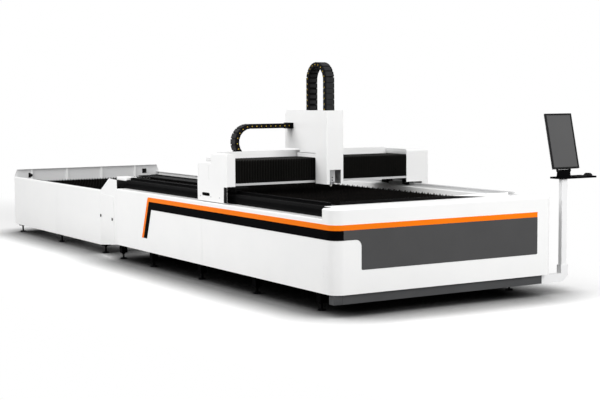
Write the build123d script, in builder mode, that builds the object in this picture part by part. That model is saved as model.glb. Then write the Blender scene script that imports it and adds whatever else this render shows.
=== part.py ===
from build123d import *
import math
import os

# Fiber laser cutting machine with an exchange table, in millimetres.
# +X points to the front end, -Y to the near side, +Z up.
# The origin is the centre of the footprint on the floor.
# Places are given as a depth behind the front face, an offset from the machine's centre line, with the near
# side negative, and a height above the floor.

# Overall sizes
overall_length = 8680.0
bed_width = 2530.0
stand_reach = 650.0
front_x = overall_length / 2
centre_y = -stand_reach / 2
bed_half = bed_width / 2
run_clearance = 0.3
slide_clearance = 0.6
weld_gap = 0.3
overrun = 20.0
sides = (-1, 1)

# Sheet metal
sheet_wall = 4.0
seam_gap = 2.0
trim_thickness = 3.0
panel_offset = bed_half - trim_thickness
panel_flange = 30.0
panel_edge_radius = 12.0

# Bed
bed_length = 4710.0
panel_bottom = 200.0
panel_top = 860.0
panel_seam_share = 0.535
panel_seam_depth = panel_seam_share * bed_length
girder_side_gap = 125.0
girder_width = 140.0
girder_outer = bed_half - girder_side_gap
girder_inner = girder_outer - girder_width
girder_bottom = 185.0
girder_top = 865.0
girder_wall = 12.0
girder_front_depth = 120.0
girder_overhang = 280.0
girder_rear_depth = bed_length + girder_overhang
cross_beam_top = 275.0
cross_beam_width = 80.0
cross_beam_wall = 6.0
bed_foot_first_depth = 461.0
bed_foot_end_inset = 81.0
bed_foot_shares = (0, 0.2684, 0.5344, 0.808, 1)
bed_foot_span = girder_rear_depth - bed_foot_end_inset - bed_foot_first_depth
bed_foot_depths = [bed_foot_first_depth + share * bed_foot_span for share in bed_foot_shares]
bed_foot_inset = 40.0
bed_foot_offset = girder_outer - bed_foot_inset
base_beam_front_depth = 40.0
base_beam_bottom = 112.0
base_beam_overhang = 10.0
base_beam_half = girder_outer + base_beam_overhang
seat_top = 955.0
seat_front_depth = 360.0
seat_end_gap = 10.0
seat_rear_depth = bed_length - seat_end_gap
rail_width = 34.0
rail_height = 30.0
rail_waist = 22.0
rail_waist_bottom = 10.0
rail_waist_top = 20.0
rail_offset = (girder_inner + girder_outer) / 2
rail_end_gap = 10.0
rack_thickness = 20.0
rack_bottom = 890.0
rack_top = 925.0
guard_reach = 60.0
guard_offset = girder_inner - guard_reach
guard_bottom = 750.0
guard_top = 950.0
floor_wall = 4.0

# Lengthwise places of the exchange table
transition_length = 798.0
exchange_front_depth = bed_length + transition_length
exchange_length = overall_length - exchange_front_depth
exchange_seam_share = 0.4726
exchange_seam_depth = exchange_front_depth + exchange_seam_share * exchange_length
exchange_beam_inset = 12.0
exchange_beam_front_depth = exchange_front_depth + exchange_beam_inset
exchange_foot_insets = (57.0, 68.0)
exchange_foot_share = 0.4902
exchange_foot_depths = (
    exchange_front_depth + exchange_foot_insets[0],
    exchange_front_depth + exchange_foot_share * exchange_length,
    overall_length - exchange_foot_insets[1],
)
exchange_pallet_inset = 50.0
exchange_pallet_depth = exchange_front_depth + exchange_pallet_inset
pallet_rear_gap = 42.0
pallet_length = overall_length - exchange_pallet_depth - pallet_rear_gap
bed_track_rear_depth = exchange_beam_front_depth - weld_gap

# Feet
foot_pad_radius = 42.0
foot_pad_height = 16.0
foot_pad_taper = 20.0
foot_sides = 10
nut_sides = 6
foot_stem_radius = 11.0
foot_nut_radius = 20.0
foot_nut_height = 14.0
leg_block_size = 70.0
leg_block_bottom = 75.0
exchange_leg_bottom = 92.0
exchange_leg_length = 60.0

# Front hood
hood_top = 957.0
hood_depth = 345.0
hood_return_depth = 193.0
hood_corner_radius = 100.0
hood_edge_chamfer = 12.0
hood_upstand_inset = 288.0
hood_upstand_half = bed_half - hood_upstand_inset
hood_upstand_height = 30.0

# Stripes and sign panel
orange_bottom = 768.0
orange_top = 816.0
black_bottom = 681.0
stripe_end_inset = 870.0
stripe_rear_depth = bed_length - stripe_end_inset
stripe_leg_bottom = 350.0
stripe_leg_slant_share = 0.36
stripe_corner_radius = 36.0
front_stripe_inset = 209.0
front_stripe_end = bed_half - front_stripe_inset
sign_bottom = 410.0
sign_inset = 292.0
sign_left = sign_inset - bed_half
sign_inner_radius = 60.0
sign_corner_radius = 12.0

# Pallet tracks and pallets
pallet_side_gap = 220.0
pallet_half = girder_inner - pallet_side_gap
track_gap = 15.0
track_inner = pallet_half + track_gap
track_wall = 12.0
track_leg = 72.0
tip_height = 940.0
pallet_level_step = 203.0
roller_drop = 200.0
track_top = tip_height - roller_drop
low_track_top = track_top - pallet_level_step
bed_track_front_depth = 480.0
pallet_bar = 40.0
pallet_bar_top_drop = 25.0
pallet_bar_bottom_drop = 190.0
bed_pallet_depth = 500.0
slat_wall = 4.0
slat_height = 110.0
slat_tooth_height = 30.0
slat_pitch = 100.0
slat_tooth_pitch = 200.0
roller_radius = 35.0
roller_width = 42.0
roller_pin_radius = 12.0
roller_gap = 4.0
roller_end_inset = 240.0
roller_count = 3
pin_sides = 12

# Transition between bed and exchange table
exchange_beam_width = 100.0
exchange_beam_inner = girder_inner
exchange_beam_outer = exchange_beam_inner + exchange_beam_width
exchange_panel_gap = 41.0
exchange_half = exchange_beam_outer + exchange_panel_gap
exchange_bottom = 116.0
exchange_top = 791.0
flare_gap = 0.85
fin_height = 962.0
fin_share = 0.44
fin_low_height = 780.0
door_shares = (0.17, 0.97)
door_bottom = 215.0
door_top = 755.0
door_corner_chamfer = 8.0
latch_shares = (0.25, 0.94)
latch_height = 482.0
latch_length = 36.0
latch_width = 16.0
latch_thickness = 10.0
latch_base_radius = 13.0
latch_base_thickness = 4.0

# Exchange table
exchange_wall_top = 897.0
exchange_wall_slant = 40.0
exchange_rib_width = 30.0
exchange_rib_depth = 16.0
exchange_rib_pitch = 540.0
exchange_rib_inset = 257.0
exchange_rib_first = exchange_rib_inset - exchange_half
exchange_rib_count = 4
exchange_hem = 36.0
exchange_beam_bottom = 140.0
exchange_beam_top = 745.0
exchange_beam_wall = 8.0
exchange_cross_top = 220.0
exchange_foot_inset = 48.0
exchange_foot_offset = exchange_beam_outer - exchange_foot_inset
exchange_beam_rear_depth = overall_length - sheet_wall - exchange_rib_depth

# Exchange drive
shaft_height = 380.0
shaft_radius = 20.0
shaft_clearance = 0.1
shaft_end_gap = 6.0
drive_shaft_inset = 210.0
drive_shaft_depth = overall_length - drive_shaft_inset
idler_shaft_inset = 142.0
idler_shaft_depth = exchange_front_depth + idler_shaft_inset
sprocket_radius = 60.0
sprocket_width = 10.0
sprocket_gap = 5.0
sprocket_offset = track_inner + sprocket_gap
sprocket_teeth = 14
sprocket_tooth_height = 7.0
chain_band = 8.0
bearing_radius = 48.0
bearing_width = 30.0
bearing_sides = 16
gearbox_width = 110.0
gearbox_size = 150.0
drive_motor_radius = 65.0
drive_motor_length = 240.0
drive_motor_cap = 40.0

# Gantry
gantry_front_depth = 1998.0
gantry_length = 650.0
gantry_rear_depth = gantry_front_depth + gantry_length
beam_front_inset = 92.0
beam_front_depth = gantry_front_depth + beam_front_inset
beam_rear_inset = 8.0
beam_rear_depth = gantry_rear_depth - beam_rear_inset
beam_bottom = 1064.0
beam_top = 1262.0
beam_half = girder_outer
beam_wall = 12.0
flange_height = 22.0
flange_inset = 6.0
flange_front_depth = gantry_front_depth + flange_inset
truck_front_depth = gantry_front_depth + sheet_wall + run_clearance
truck_rear_depth = gantry_rear_depth - sheet_wall - run_clearance
truck_bottom = 1015.0
truck_side = 5.0
block_length = 110.0
block_width = 70.0
block_drop = 52.0
block_inset = 70.0
cover_near_inset = 23.0
cover_near_outer = bed_half - cover_near_inset
cover_near_inner = girder_outer + truck_side + run_clearance
cover_near_bottom = 868.0
cover_low_top = 1265.0
cover_high_top = 1360.0
cover_step_inset = 346.0
cover_step_depth = gantry_front_depth + cover_step_inset
cover_skirt_height = 1035.0
cover_slot_inset = 190.0
cover_slot_depth = gantry_rear_depth - cover_slot_inset
cover_slot_height = 938.0
cover_slot_length = 170.0
cover_slot_width = 34.0
cover_groove_insets = (33.0, 263.0)
cover_groove_depths = [gantry_rear_depth - inset for inset in cover_groove_insets]
cover_groove_width = 10.0
cover_groove_bottom = 1085.0
cover_groove_top = 1235.0
cover_groove_cut = 1.5
cover_edge_chamfer = 6.0
cover_far_reach = 41.0
cover_far_inner = girder_inner - cover_far_reach
cover_far_inset = 18.0
cover_far_outer = bed_half - cover_far_inset
cover_far_bottom = 918.0
cover_far_top = 1354.0
cover_far_radius = 28.0
cover_far_skirt_gap = 28.0
cover_far_skirt_offset = girder_outer + cover_far_skirt_gap
cover_far_skirt_height = 1000.0
trough_inset = 296.0
trough_front_depth = beam_front_depth + trough_inset
trough_front_top = 1367.0
trough_rear_top = 1300.0
cross_rail_width = 28.0
cross_rail_height = 22.0
top_rail_inset = 150.0
top_rail_depth = beam_front_depth + top_rail_inset
front_rail_height = 1130.0
cross_rack_bottom = 1185.0
cross_rack_top = 1215.0

# Gantry drives
drive_inset = 172.0
drive_depth = gantry_front_depth + drive_inset
drive_size = 80.0
drive_gearbox_height = 70.0
drive_motor_height = 160.0
drive_cap_height = 40.0
drive_cap_size = 66.0
pinion_radius = 24.0
pinion_root_radius = 19.0
pinion_teeth = 16
pinion_shaft_radius = 10.0
pinion_gap = 1.0

# Carriage and head
carriage_offset = -100.0
head_half = 101.0
housing_beam_gap = 95.0
housing_back_depth = beam_front_depth - housing_beam_gap
housing_length = 219.0
housing_front_depth = housing_back_depth - housing_length
housing_rear_length = 615.0
housing_rear_depth = housing_back_depth + housing_rear_length
housing_top = 1785.0
housing_bottom = 1031.0
housing_rear_bottom = 1380.0
housing_step_length = 321.0
housing_step_depth = housing_back_depth + housing_step_length
housing_step_bottom = 1345.0
housing_chamfer = 40.0
housing_edge_radius = 8.0
cavity_wall = 6.0
cavity_top = 1480.0
notch_half = 67.0
notch_top = 1178.0
casting_side_gap = 8.0
casting_top = 1340.0
casting_top_wall = 44.0
casting_front_wall = 42.0
casting_overhang = 130.0
casting_rear_depth = top_rail_depth + casting_overhang
casting_bottom = 1072.0
casting_block = 64.0
slide_plate_wall = 44.0
slide_plate_half = 75.0
slide_plate_bottom = 1110.0
slide_plate_top = 1350.0
head_axis_inset = 92.0
head_axis_depth = housing_front_depth + head_axis_inset
head_radius = 45.0
head_top = 1355.0
head_clamp_half = 36.0
head_clamp_bottom = 1190.0
head_clamp_top = 1290.0
head_cone_top = 1105.0
head_cone_bottom = 1050.0
head_neck_radius = 24.0
nozzle_top = 1023.0
nozzle_radius = 15.0
nozzle_tip_radius = 3.0
nozzle_bottom = 995.0

# Bellows
bellows_bottom = 1068.0
bellows_top = 1300.0
bellows_back_gap = 4.0
bellows_back_depth = trough_front_depth - bellows_back_gap
bellows_front_wall = 32.0
bellows_top_wall = 12.0
bellows_fold = 7.0
bellows_pitch = 30.0
bellows_rib_share = 0.3
bellows_end_gap = 0.3

# Drag chains
link_pitch = 55.0
link_gap = 0.3
link_lift = 3.0
link_width = 112.0
link_thickness = 48.0
chain_radius = 164.0
cross_chain_inset = 140.0
cross_chain_depth = beam_rear_depth - cross_chain_inset
cross_chain_low = beam_top + sheet_wall + link_lift + link_thickness / 2
cross_chain_centre = -711.0
cross_chain_fixed = -100.0
cross_chain_bracket = 0.3
head_chain_gap = 29.0
head_chain_depth = beam_front_depth - head_chain_gap
head_chain_top = 2282.0

# Operator stand
arm_depth = 120.0
arm_wall = 60.0
arm_bottom = 98.0
arm_top = 178.0
arm_inner = 600.0
elbow_gap = 207.0
elbow_width = 90.0
elbow_inner = bed_half + elbow_gap
elbow_outer = elbow_inner + elbow_width
elbow_top = 261.0
elbow_chamfer = 60.0
post_width = 70.0
post_depth = 50.0
post_edge_chamfer = 4.0
tray_gap = 165.0
tray_inner = bed_half + tray_gap
tray_front_depth = 92.0
tray_depth = 161.0
tray_bottom = 1110.0
tray_rim = 17.0
tray_wall = 4.0
tray_corner_chamfer = 10.0
bracket_gap = 205.0
bracket_inner = bed_half + bracket_gap
bracket_length = 150.0
bracket_wall = 46.0
bracket_depth = 152.0
tilt_height = 1186.0
tilt_pin_radius = 6.0
tilt_barrel_radius = 12.0
tilt_ear_wall = 10.0
tilt_ear_radius = 13.0
tilt_angle = 13.4
monitor_width = 345.0
monitor_height = 556.0
monitor_gap = 297.0
monitor_offset = bed_half + monitor_gap
monitor_wall = 45.0
monitor_rise = 16.0
monitor_back_inset = 28.0
monitor_rim_wall = 20.0
screen_border = 10.0
screen_wall = 4.0
keyboard_length = 160.0
keyboard_width = 105.0
keyboard_height = 16.0
keyboard_gap = 467.0
keyboard_offset = bed_half + keyboard_gap
keyboard_taper = 8.0
mouse_length = 100.0
mouse_width = 58.0
mouse_height = 34.0
mouse_gap = 603.0
mouse_offset = bed_half + mouse_gap
mouse_corner_chamfer = 14.0
mouse_edge_chamfer = 8.0


def at(depth, offset, height):
    """Point of the object's frame for a depth, an offset and a height."""
    return (front_x - depth, centre_y + offset, height)


def block(depths, offsets, heights, mode=Mode.ADD):
    """Straight bar between two depths, two offsets and two heights, in the running part."""
    middle = at(sum(depths) / 2, sum(offsets) / 2, sum(heights) / 2)
    size = (abs(depths[1] - depths[0]), abs(offsets[1] - offsets[0]), abs(heights[1] - heights[0]))
    with Locations(middle):
        Box(*size, mode=mode)


def length_plane(depth):
    """Plane across the machine at a depth: local x is the offset, local y the height, normal to the front."""
    return Plane(origin=at(depth, 0, 0), x_dir=(0, 1, 0), z_dir=(1, 0, 0))


def side_plane(offset):
    """Plane along the machine at an offset: local x is minus the depth, local y the height."""
    return Plane(origin=at(0, offset, 0), x_dir=(1, 0, 0), z_dir=(0, -1, 0))


def floor_plane(height):
    """Level plane at a height: local x is minus the depth, local y the offset."""
    return Plane(origin=at(0, 0, height), x_dir=(1, 0, 0), z_dir=(0, 0, 1))


def save(piece, name):
    """Label a finished piece and write its file."""
    piece.part.label = name
    export_step(piece.part, f"parts/{name}.step")


os.makedirs("parts", exist_ok=True)

# Bed frame: two box girders, cross tubes, the front base beam, the scrap floor
with BuildPart() as bed_girders:
    with BuildSketch(length_plane(girder_rear_depth)):
        for side in sides:
            with Locations((side * rail_offset, (girder_bottom + girder_top) / 2)):
                Rectangle(girder_outer - girder_inner, girder_top - girder_bottom)
                Rectangle(
                    girder_outer - girder_inner - 2 * girder_wall,
                    girder_top - girder_bottom - 2 * girder_wall,
                    mode=Mode.SUBTRACT,
                )
    extrude(amount=girder_rear_depth - girder_front_depth)
save(bed_girders, "bed_girders")

with BuildPart() as bed_cross_beams:
    with BuildSketch(side_plane(girder_inner)):
        for depth in bed_foot_depths:
            with Locations((-depth, (girder_bottom + cross_beam_top) / 2)):
                Rectangle(cross_beam_width, cross_beam_top - girder_bottom)
                Rectangle(
                    cross_beam_width - 2 * cross_beam_wall,
                    cross_beam_top - girder_bottom - 2 * cross_beam_wall,
                    mode=Mode.SUBTRACT,
                )
    extrude(amount=2 * girder_inner)
    with BuildSketch(side_plane(base_beam_half)):
        centre_depth = (base_beam_front_depth + girder_front_depth) / 2
        with Locations((-centre_depth, (base_beam_bottom + panel_bottom) / 2)):
            Rectangle(girder_front_depth - base_beam_front_depth, panel_bottom - base_beam_bottom)
            Rectangle(
                girder_front_depth - base_beam_front_depth - 2 * cross_beam_wall,
                panel_bottom - base_beam_bottom - 2 * cross_beam_wall,
                mode=Mode.SUBTRACT,
            )
    extrude(amount=2 * base_beam_half)
save(bed_cross_beams, "bed_cross_beams")

with BuildPart() as scrap_floor:
    block(
        (girder_front_depth, girder_rear_depth),
        (-girder_inner, girder_inner),
        (cross_beam_top, cross_beam_top + floor_wall),
    )
save(scrap_floor, "scrap_floor")

# Leg blocks and levelling feet
with BuildPart() as leg_blocks:
    for side in sides:
        for depth in bed_foot_depths:
            block(
                (depth - leg_block_size / 2, depth + leg_block_size / 2),
                (side * bed_foot_offset - leg_block_size / 2, side * bed_foot_offset + leg_block_size / 2),
                (leg_block_bottom, girder_bottom),
            )
        for depth in exchange_foot_depths:
            block(
                (depth - exchange_leg_length / 2, depth + exchange_leg_length / 2),
                (side * exchange_beam_inner, side * exchange_beam_outer),
                (exchange_leg_bottom, exchange_beam_bottom),
            )
save(leg_blocks, "leg_blocks")


with BuildPart() as levelling_feet:
    for depths, across, seat in (
        (bed_foot_depths, bed_foot_offset, leg_block_bottom),
        (exchange_foot_depths, exchange_foot_offset, exchange_leg_bottom),
    ):
        spots = [(-depth, side * across) for side in sides for depth in depths]
        with BuildSketch(floor_plane(0)):
            with Locations(*spots):
                RegularPolygon(foot_pad_radius, foot_sides)
        extrude(amount=foot_pad_height, taper=foot_pad_taper)
        with BuildSketch(floor_plane(foot_pad_height)):
            with Locations(*spots):
                RegularPolygon(foot_stem_radius, foot_sides)
        extrude(amount=seat - foot_pad_height)
        with BuildSketch(floor_plane(seat - foot_nut_height)):
            with Locations(*spots):
                RegularPolygon(foot_nut_radius, nut_sides)
        extrude(amount=foot_nut_height)
save(levelling_feet, "levelling_feet")

# Rail seats, rails, racks and pallet tracks along both girders
with BuildPart() as rail_seats:
    for side in sides:
        block(
            (seat_front_depth, seat_rear_depth),
            (side * girder_inner, side * girder_outer),
            (girder_top, seat_top),
        )
save(rail_seats, "rail_seats")


def rail_outline(width, height, waist, waist_bottom, waist_top):
    """Half outline of a profile rail, mirrored: wide foot, narrow waist, wide head."""
    half = width / 2
    return [
        (-half, 0),
        (half, 0),
        (half, waist_bottom),
        (waist / 2, (waist_bottom + waist_top) / 2),
        (half, waist_top),
        (half, height),
        (-half, height),
        (-half, waist_top),
        (-waist / 2, (waist_bottom + waist_top) / 2),
        (-half, waist_bottom),
    ]


with BuildPart() as linear_rails:
    with BuildSketch(length_plane(seat_rear_depth - rail_end_gap)):
        for side in sides:
            with Locations((side * rail_offset, seat_top)):
                Polygon(
                    *rail_outline(rail_width, rail_height, rail_waist, rail_waist_bottom, rail_waist_top),
                    align=None,
                )
    extrude(amount=seat_rear_depth - seat_front_depth - 2 * rail_end_gap)
    for side in sides:
        block(
            (seat_front_depth + rail_end_gap, seat_rear_depth - rail_end_gap),
            (side * girder_outer, side * (girder_outer + rack_thickness)),
            (rack_bottom, rack_top),
        )
save(linear_rails, "rails_and_racks")


def track_outline(side, top):
    """Angle section of a pallet track: a level shelf and an upright leg against the girder."""
    return [
        (side * girder_inner, top),
        (side * track_inner, top),
        (side * track_inner, top - track_wall),
        (side * (girder_inner - track_wall), top - track_wall),
        (side * (girder_inner - track_wall), top - track_leg),
        (side * girder_inner, top - track_leg),
    ]


with BuildPart() as pallet_tracks:
    with BuildSketch(length_plane(bed_track_rear_depth)):
        for side in sides:
            Polygon(*track_outline(side, track_top), align=None)
    extrude(amount=bed_track_rear_depth - bed_track_front_depth)
    with BuildSketch(length_plane(exchange_beam_rear_depth)):
        for side in sides:
            for top in (track_top, low_track_top):
                Polygon(*track_outline(side, top), align=None)
    extrude(amount=exchange_beam_rear_depth - exchange_beam_front_depth)
save(pallet_tracks, "pallet_tracks")

with BuildPart() as rail_guards:
    with BuildSketch(length_plane(seat_rear_depth)):
        for side in sides:
            Polygon(
                (side * girder_inner, guard_bottom),
                (side * guard_offset, guard_bottom),
                (side * guard_offset, guard_top),
                (side * girder_inner, guard_top),
                (side * girder_inner, guard_top - sheet_wall),
                (side * (guard_offset + sheet_wall), guard_top - sheet_wall),
                (side * (guard_offset + sheet_wall), guard_bottom + sheet_wall),
                (side * girder_inner, guard_bottom + sheet_wall),
                align=None,
            )
    extrude(amount=seat_rear_depth - hood_depth)
save(rail_guards, "rail_guards")


# Folded side panels, each in two lengths with a seam
def panel_outline(side, outer, inner, bottom, top):
    """Section of a folded side panel: top flange, upright sheet, short bottom flange."""
    return [
        (side * outer, bottom),
        (side * outer, top),
        (side * inner, top),
        (side * inner, top - sheet_wall),
        (side * (outer - sheet_wall), top - sheet_wall),
        (side * (outer - sheet_wall), bottom + sheet_wall),
        (side * (outer - panel_flange), bottom + sheet_wall),
        (side * (outer - panel_flange), bottom),
    ]


def side_panel(side, outer, inner, heights, depths, seam_depth):
    """Side panel in two lengths, from the rear depth to the front depth."""
    outer_corner = 0 if side < 0 else -1
    spans = ((depths[1], seam_depth + seam_gap / 2), (seam_depth - seam_gap / 2, depths[0]))
    with BuildPart() as panel:
        for rear, front in spans:
            with BuildSketch(length_plane(rear)) as section:
                Polygon(*panel_outline(side, outer, inner, *heights), align=None)
                top_corners = section.vertices().group_by(Axis.Y)[-1].sort_by(Axis.X)
                fillet(top_corners[outer_corner], panel_edge_radius)
            extrude(amount=rear - front)
    return panel


for side, place in zip(sides, ("near", "far")):
    bed_panel = side_panel(
        side,
        panel_offset,
        girder_outer,
        (panel_bottom, panel_top),
        (hood_return_depth, bed_length),
        panel_seam_depth,
    )
    save(bed_panel, f"side_panel_{place}")

# Front hood: a bent sheet with rounded corners, a flat deck and an upstand behind it
with BuildPart() as front_hood:
    with BuildSketch(floor_plane(panel_bottom)) as plan:
        with Locations((-(trim_thickness + hood_depth) / 2, 0)):
            Rectangle(hood_depth - trim_thickness, 2 * panel_offset)
        fillet(plan.vertices().group_by(Axis.X)[-1], hood_corner_radius)
    extrude(amount=hood_top - panel_bottom)
    rear_face = front_hood.faces().sort_by(Axis.X)[0]
    bottom_face = front_hood.faces().sort_by(Axis.Z)[0]
    rim = front_hood.faces().sort_by(Axis.Z)[-1].edges()
    chamfer(rim.sort_by(Axis.X)[1:], hood_edge_chamfer)
    rear_face = front_hood.faces().sort_by(Axis.X)[0]
    bottom_face = front_hood.faces().sort_by(Axis.Z)[0]
    offset(amount=-sheet_wall, openings=[rear_face, bottom_face])
    for side in sides:
        block(
            (hood_return_depth, hood_depth + overrun),
            (side * girder_outer, side * (bed_half + overrun)),
            (panel_bottom - overrun, hood_top + overrun),
            mode=Mode.SUBTRACT,
        )
    block(
        (hood_depth - sheet_wall, hood_depth),
        (-hood_upstand_half, hood_upstand_half),
        (hood_top - sheet_wall, hood_top + hood_upstand_height),
    )
save(front_hood, "front_hood")


# Stripes along the near side, round the corner and over the front
def corner_band(heights):
    """Part of a stripe that bends round the near front corner, in the running part."""
    centre = (-(trim_thickness + hood_corner_radius), -(panel_offset - hood_corner_radius))
    with BuildSketch(floor_plane(heights[0])) as bend:
        with Locations(centre):
            Circle(hood_corner_radius + trim_thickness)
            Circle(hood_corner_radius, mode=Mode.SUBTRACT)
        with Locations((centre[0] - hood_corner_radius, centre[1])):
            Rectangle(2 * hood_corner_radius, 4 * hood_corner_radius, mode=Mode.SUBTRACT)
        with Locations((centre[0], centre[1] + hood_corner_radius)):
            Rectangle(4 * hood_corner_radius, 2 * hood_corner_radius, mode=Mode.SUBTRACT)
    return extrude(bend.sketch, amount=heights[1] - heights[0])


def slant(height):
    """How far behind its top the slanted stripe leg has moved at a height."""
    return (orange_top - height) * stripe_leg_slant_share


orange_width = orange_top - orange_bottom
black_width = orange_bottom - black_bottom
corner_depth = trim_thickness + hood_corner_radius
corner_offset = -(panel_offset - hood_corner_radius)

with BuildPart() as stripe_orange:
    corner_band((orange_bottom, orange_top))
    with BuildSketch(side_plane(-panel_offset)) as band:
        Polygon(
            (-corner_depth, orange_top),
            (-stripe_rear_depth, orange_top),
            (-stripe_rear_depth - slant(stripe_leg_bottom), stripe_leg_bottom),
            (-stripe_rear_depth - slant(stripe_leg_bottom) + orange_width, stripe_leg_bottom),
            (-stripe_rear_depth - slant(orange_bottom) + orange_width, orange_bottom),
            (-corner_depth, orange_bottom),
            align=None,
        )
        fillet(band.vertices().group_by(Axis.Y)[-1].sort_by(Axis.X)[0], stripe_corner_radius)
    extrude(amount=trim_thickness)
    with BuildSketch(length_plane(trim_thickness)):
        with Locations(((corner_offset + front_stripe_end) / 2, (orange_bottom + orange_top) / 2)):
            Rectangle(front_stripe_end - corner_offset, orange_width)
    extrude(amount=trim_thickness)
save(stripe_orange, "stripe_orange")

with BuildPart() as stripe_black:
    corner_band((black_bottom, orange_bottom))
    with BuildSketch(side_plane(-panel_offset)):
        Polygon(
            (-corner_depth, orange_bottom),
            (-stripe_rear_depth - slant(orange_bottom) + orange_width, orange_bottom),
            (-stripe_rear_depth - slant(stripe_leg_bottom) + orange_width, stripe_leg_bottom),
            (-stripe_rear_depth - slant(stripe_leg_bottom) + orange_width + black_width, stripe_leg_bottom),
            (-stripe_rear_depth - slant(black_bottom) + orange_width + black_width, black_bottom),
            (-corner_depth, black_bottom),
            align=None,
        )
    extrude(amount=trim_thickness)
save(stripe_black, "stripe_black")

with BuildPart() as sign_panel:
    with BuildSketch(length_plane(trim_thickness)) as sign:
        Polygon(
            (corner_offset, orange_bottom),
            (corner_offset, black_bottom),
            (sign_left, black_bottom),
            (sign_left, sign_bottom),
            (front_stripe_end, sign_bottom),
            (front_stripe_end, orange_bottom),
            align=None,
        )
        fillet(sign.vertices().group_by(Axis.Y)[0], sign_corner_radius)
        fillet(sign.vertices().group_by(Axis.X)[1].sort_by(Axis.Y)[-1], sign_inner_radius)
    extrude(amount=trim_thickness)
save(sign_panel, "sign_panel")

# Flared transition panels with a raised fin, the access door and its latches
flare_start = bed_length + flare_gap
flare_depth = exchange_front_depth - flare_start
flare_offset = panel_offset - exchange_half
flare_length = math.hypot(flare_depth, flare_offset)


def flare_plane(side):
    """Plane of a transition panel's outer face: local x is level along the panel, local y is the height."""
    outward = (-flare_offset / flare_length, side * flare_depth / flare_length, 0)
    along = (-outward[1], outward[0], 0)
    return Plane(origin=at(flare_start, side * panel_offset, 0), x_dir=along, z_dir=outward)


def flare_x(side, share):
    """Local x on a transition panel for a share of its length, whichever way its plane is turned."""
    plane = flare_plane(side)
    target = Vector(*at(flare_start + share * flare_depth, side * (panel_offset - share * flare_offset), 0))
    return plane.to_local_coords(target).X


for side, place in zip(sides, ("near", "far")):
    with BuildPart() as transition_panel:
        with BuildSketch(flare_plane(side)) as outline:
            Polygon(
                (flare_x(side, 0), panel_bottom),
                (flare_x(side, 0), fin_height),
                (flare_x(side, fin_share), fin_height),
                (flare_x(side, 1), fin_low_height),
                (flare_x(side, 1), exchange_bottom),
                align=None,
            )
        extrude(amount=-sheet_wall)
    save(transition_panel, f"transition_panel_{place}")

near_flare = flare_plane(-1)
with BuildPart() as access_door:
    with BuildSketch(near_flare) as leaf:
        door_left = flare_x(-1, door_shares[0])
        door_right = flare_x(-1, door_shares[1])
        with Locations(((door_left + door_right) / 2, (door_bottom + door_top) / 2)):
            Rectangle(abs(door_right - door_left), door_top - door_bottom)
        chamfer(leaf.vertices(), door_corner_chamfer)
    extrude(amount=trim_thickness)
save(access_door, "access_door")

for share, place in zip(latch_shares, ("front", "rear")):
    with BuildPart() as latch:
        latch_x = flare_x(-1, share)
        with BuildSketch(near_flare.offset(trim_thickness + run_clearance)):
            with Locations((latch_x, latch_height)):
                Circle(latch_base_radius)
        extrude(amount=latch_base_thickness)
        with BuildSketch(near_flare.offset(trim_thickness + run_clearance + latch_base_thickness)) as grip:
            with Locations((latch_x, latch_height)):
                Rectangle(latch_width, latch_length)
            chamfer(grip.vertices(), latch_width / 3)
        extrude(amount=latch_thickness - latch_base_thickness)
    save(latch, f"door_latch_{place}")

# Exchange table: side panels, rear wall, frame, two levels of tracks
exchange_pair = [
    side_panel(
        side,
        exchange_half,
        exchange_beam_outer,
        (exchange_bottom, exchange_top),
        (exchange_front_depth, overall_length - sheet_wall),
        exchange_seam_depth,
    )
    for side in sides
]
with BuildPart() as exchange_panels:
    for panel in exchange_pair:
        add(panel.part)
save(exchange_panels, "exchange_panels")

with BuildPart() as exchange_rear_wall:
    with BuildSketch(length_plane(overall_length)):
        Polygon(
            (-exchange_half, exchange_bottom),
            (exchange_half, exchange_bottom),
            (exchange_half, exchange_top),
            (exchange_half - exchange_wall_slant, exchange_wall_top),
            (exchange_wall_slant - exchange_half, exchange_wall_top),
            (-exchange_half, exchange_top),
            align=None,
        )
    extrude(amount=sheet_wall)
    block(
        (overall_length - exchange_hem, overall_length),
        (exchange_wall_slant - exchange_half, exchange_half - exchange_wall_slant),
        (exchange_wall_top - sheet_wall, exchange_wall_top),
    )
    for number in range(exchange_rib_count):
        rib = exchange_rib_first + number * exchange_rib_pitch
        block(
            (overall_length - exchange_rib_depth - sheet_wall, overall_length - sheet_wall),
            (rib - exchange_rib_width / 2, rib + exchange_rib_width / 2),
            (exchange_bottom, exchange_wall_top),
        )
save(exchange_rear_wall, "exchange_rear_wall")

with BuildPart() as exchange_beams:
    with BuildSketch(length_plane(exchange_beam_rear_depth)):
        for side in sides:
            middle = (exchange_beam_inner + exchange_beam_outer) / 2
            with Locations((side * middle, (exchange_beam_bottom + exchange_beam_top) / 2)):
                Rectangle(exchange_beam_outer - exchange_beam_inner, exchange_beam_top - exchange_beam_bottom)
                Rectangle(
                    exchange_beam_outer - exchange_beam_inner - 2 * exchange_beam_wall,
                    exchange_beam_top - exchange_beam_bottom - 2 * exchange_beam_wall,
                    mode=Mode.SUBTRACT,
                )
    extrude(amount=exchange_beam_rear_depth - exchange_beam_front_depth)
    with BuildSketch(side_plane(exchange_beam_inner - weld_gap)):
        for depth in exchange_foot_depths:
            with Locations((-depth, (exchange_beam_bottom + exchange_cross_top) / 2)):
                Rectangle(cross_beam_width, exchange_cross_top - exchange_beam_bottom)
                Rectangle(
                    cross_beam_width - 2 * cross_beam_wall,
                    exchange_cross_top - exchange_beam_bottom - 2 * cross_beam_wall,
                    mode=Mode.SUBTRACT,
                )
    extrude(amount=2 * (exchange_beam_inner - weld_gap))
save(exchange_beams, "exchange_beams")


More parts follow.
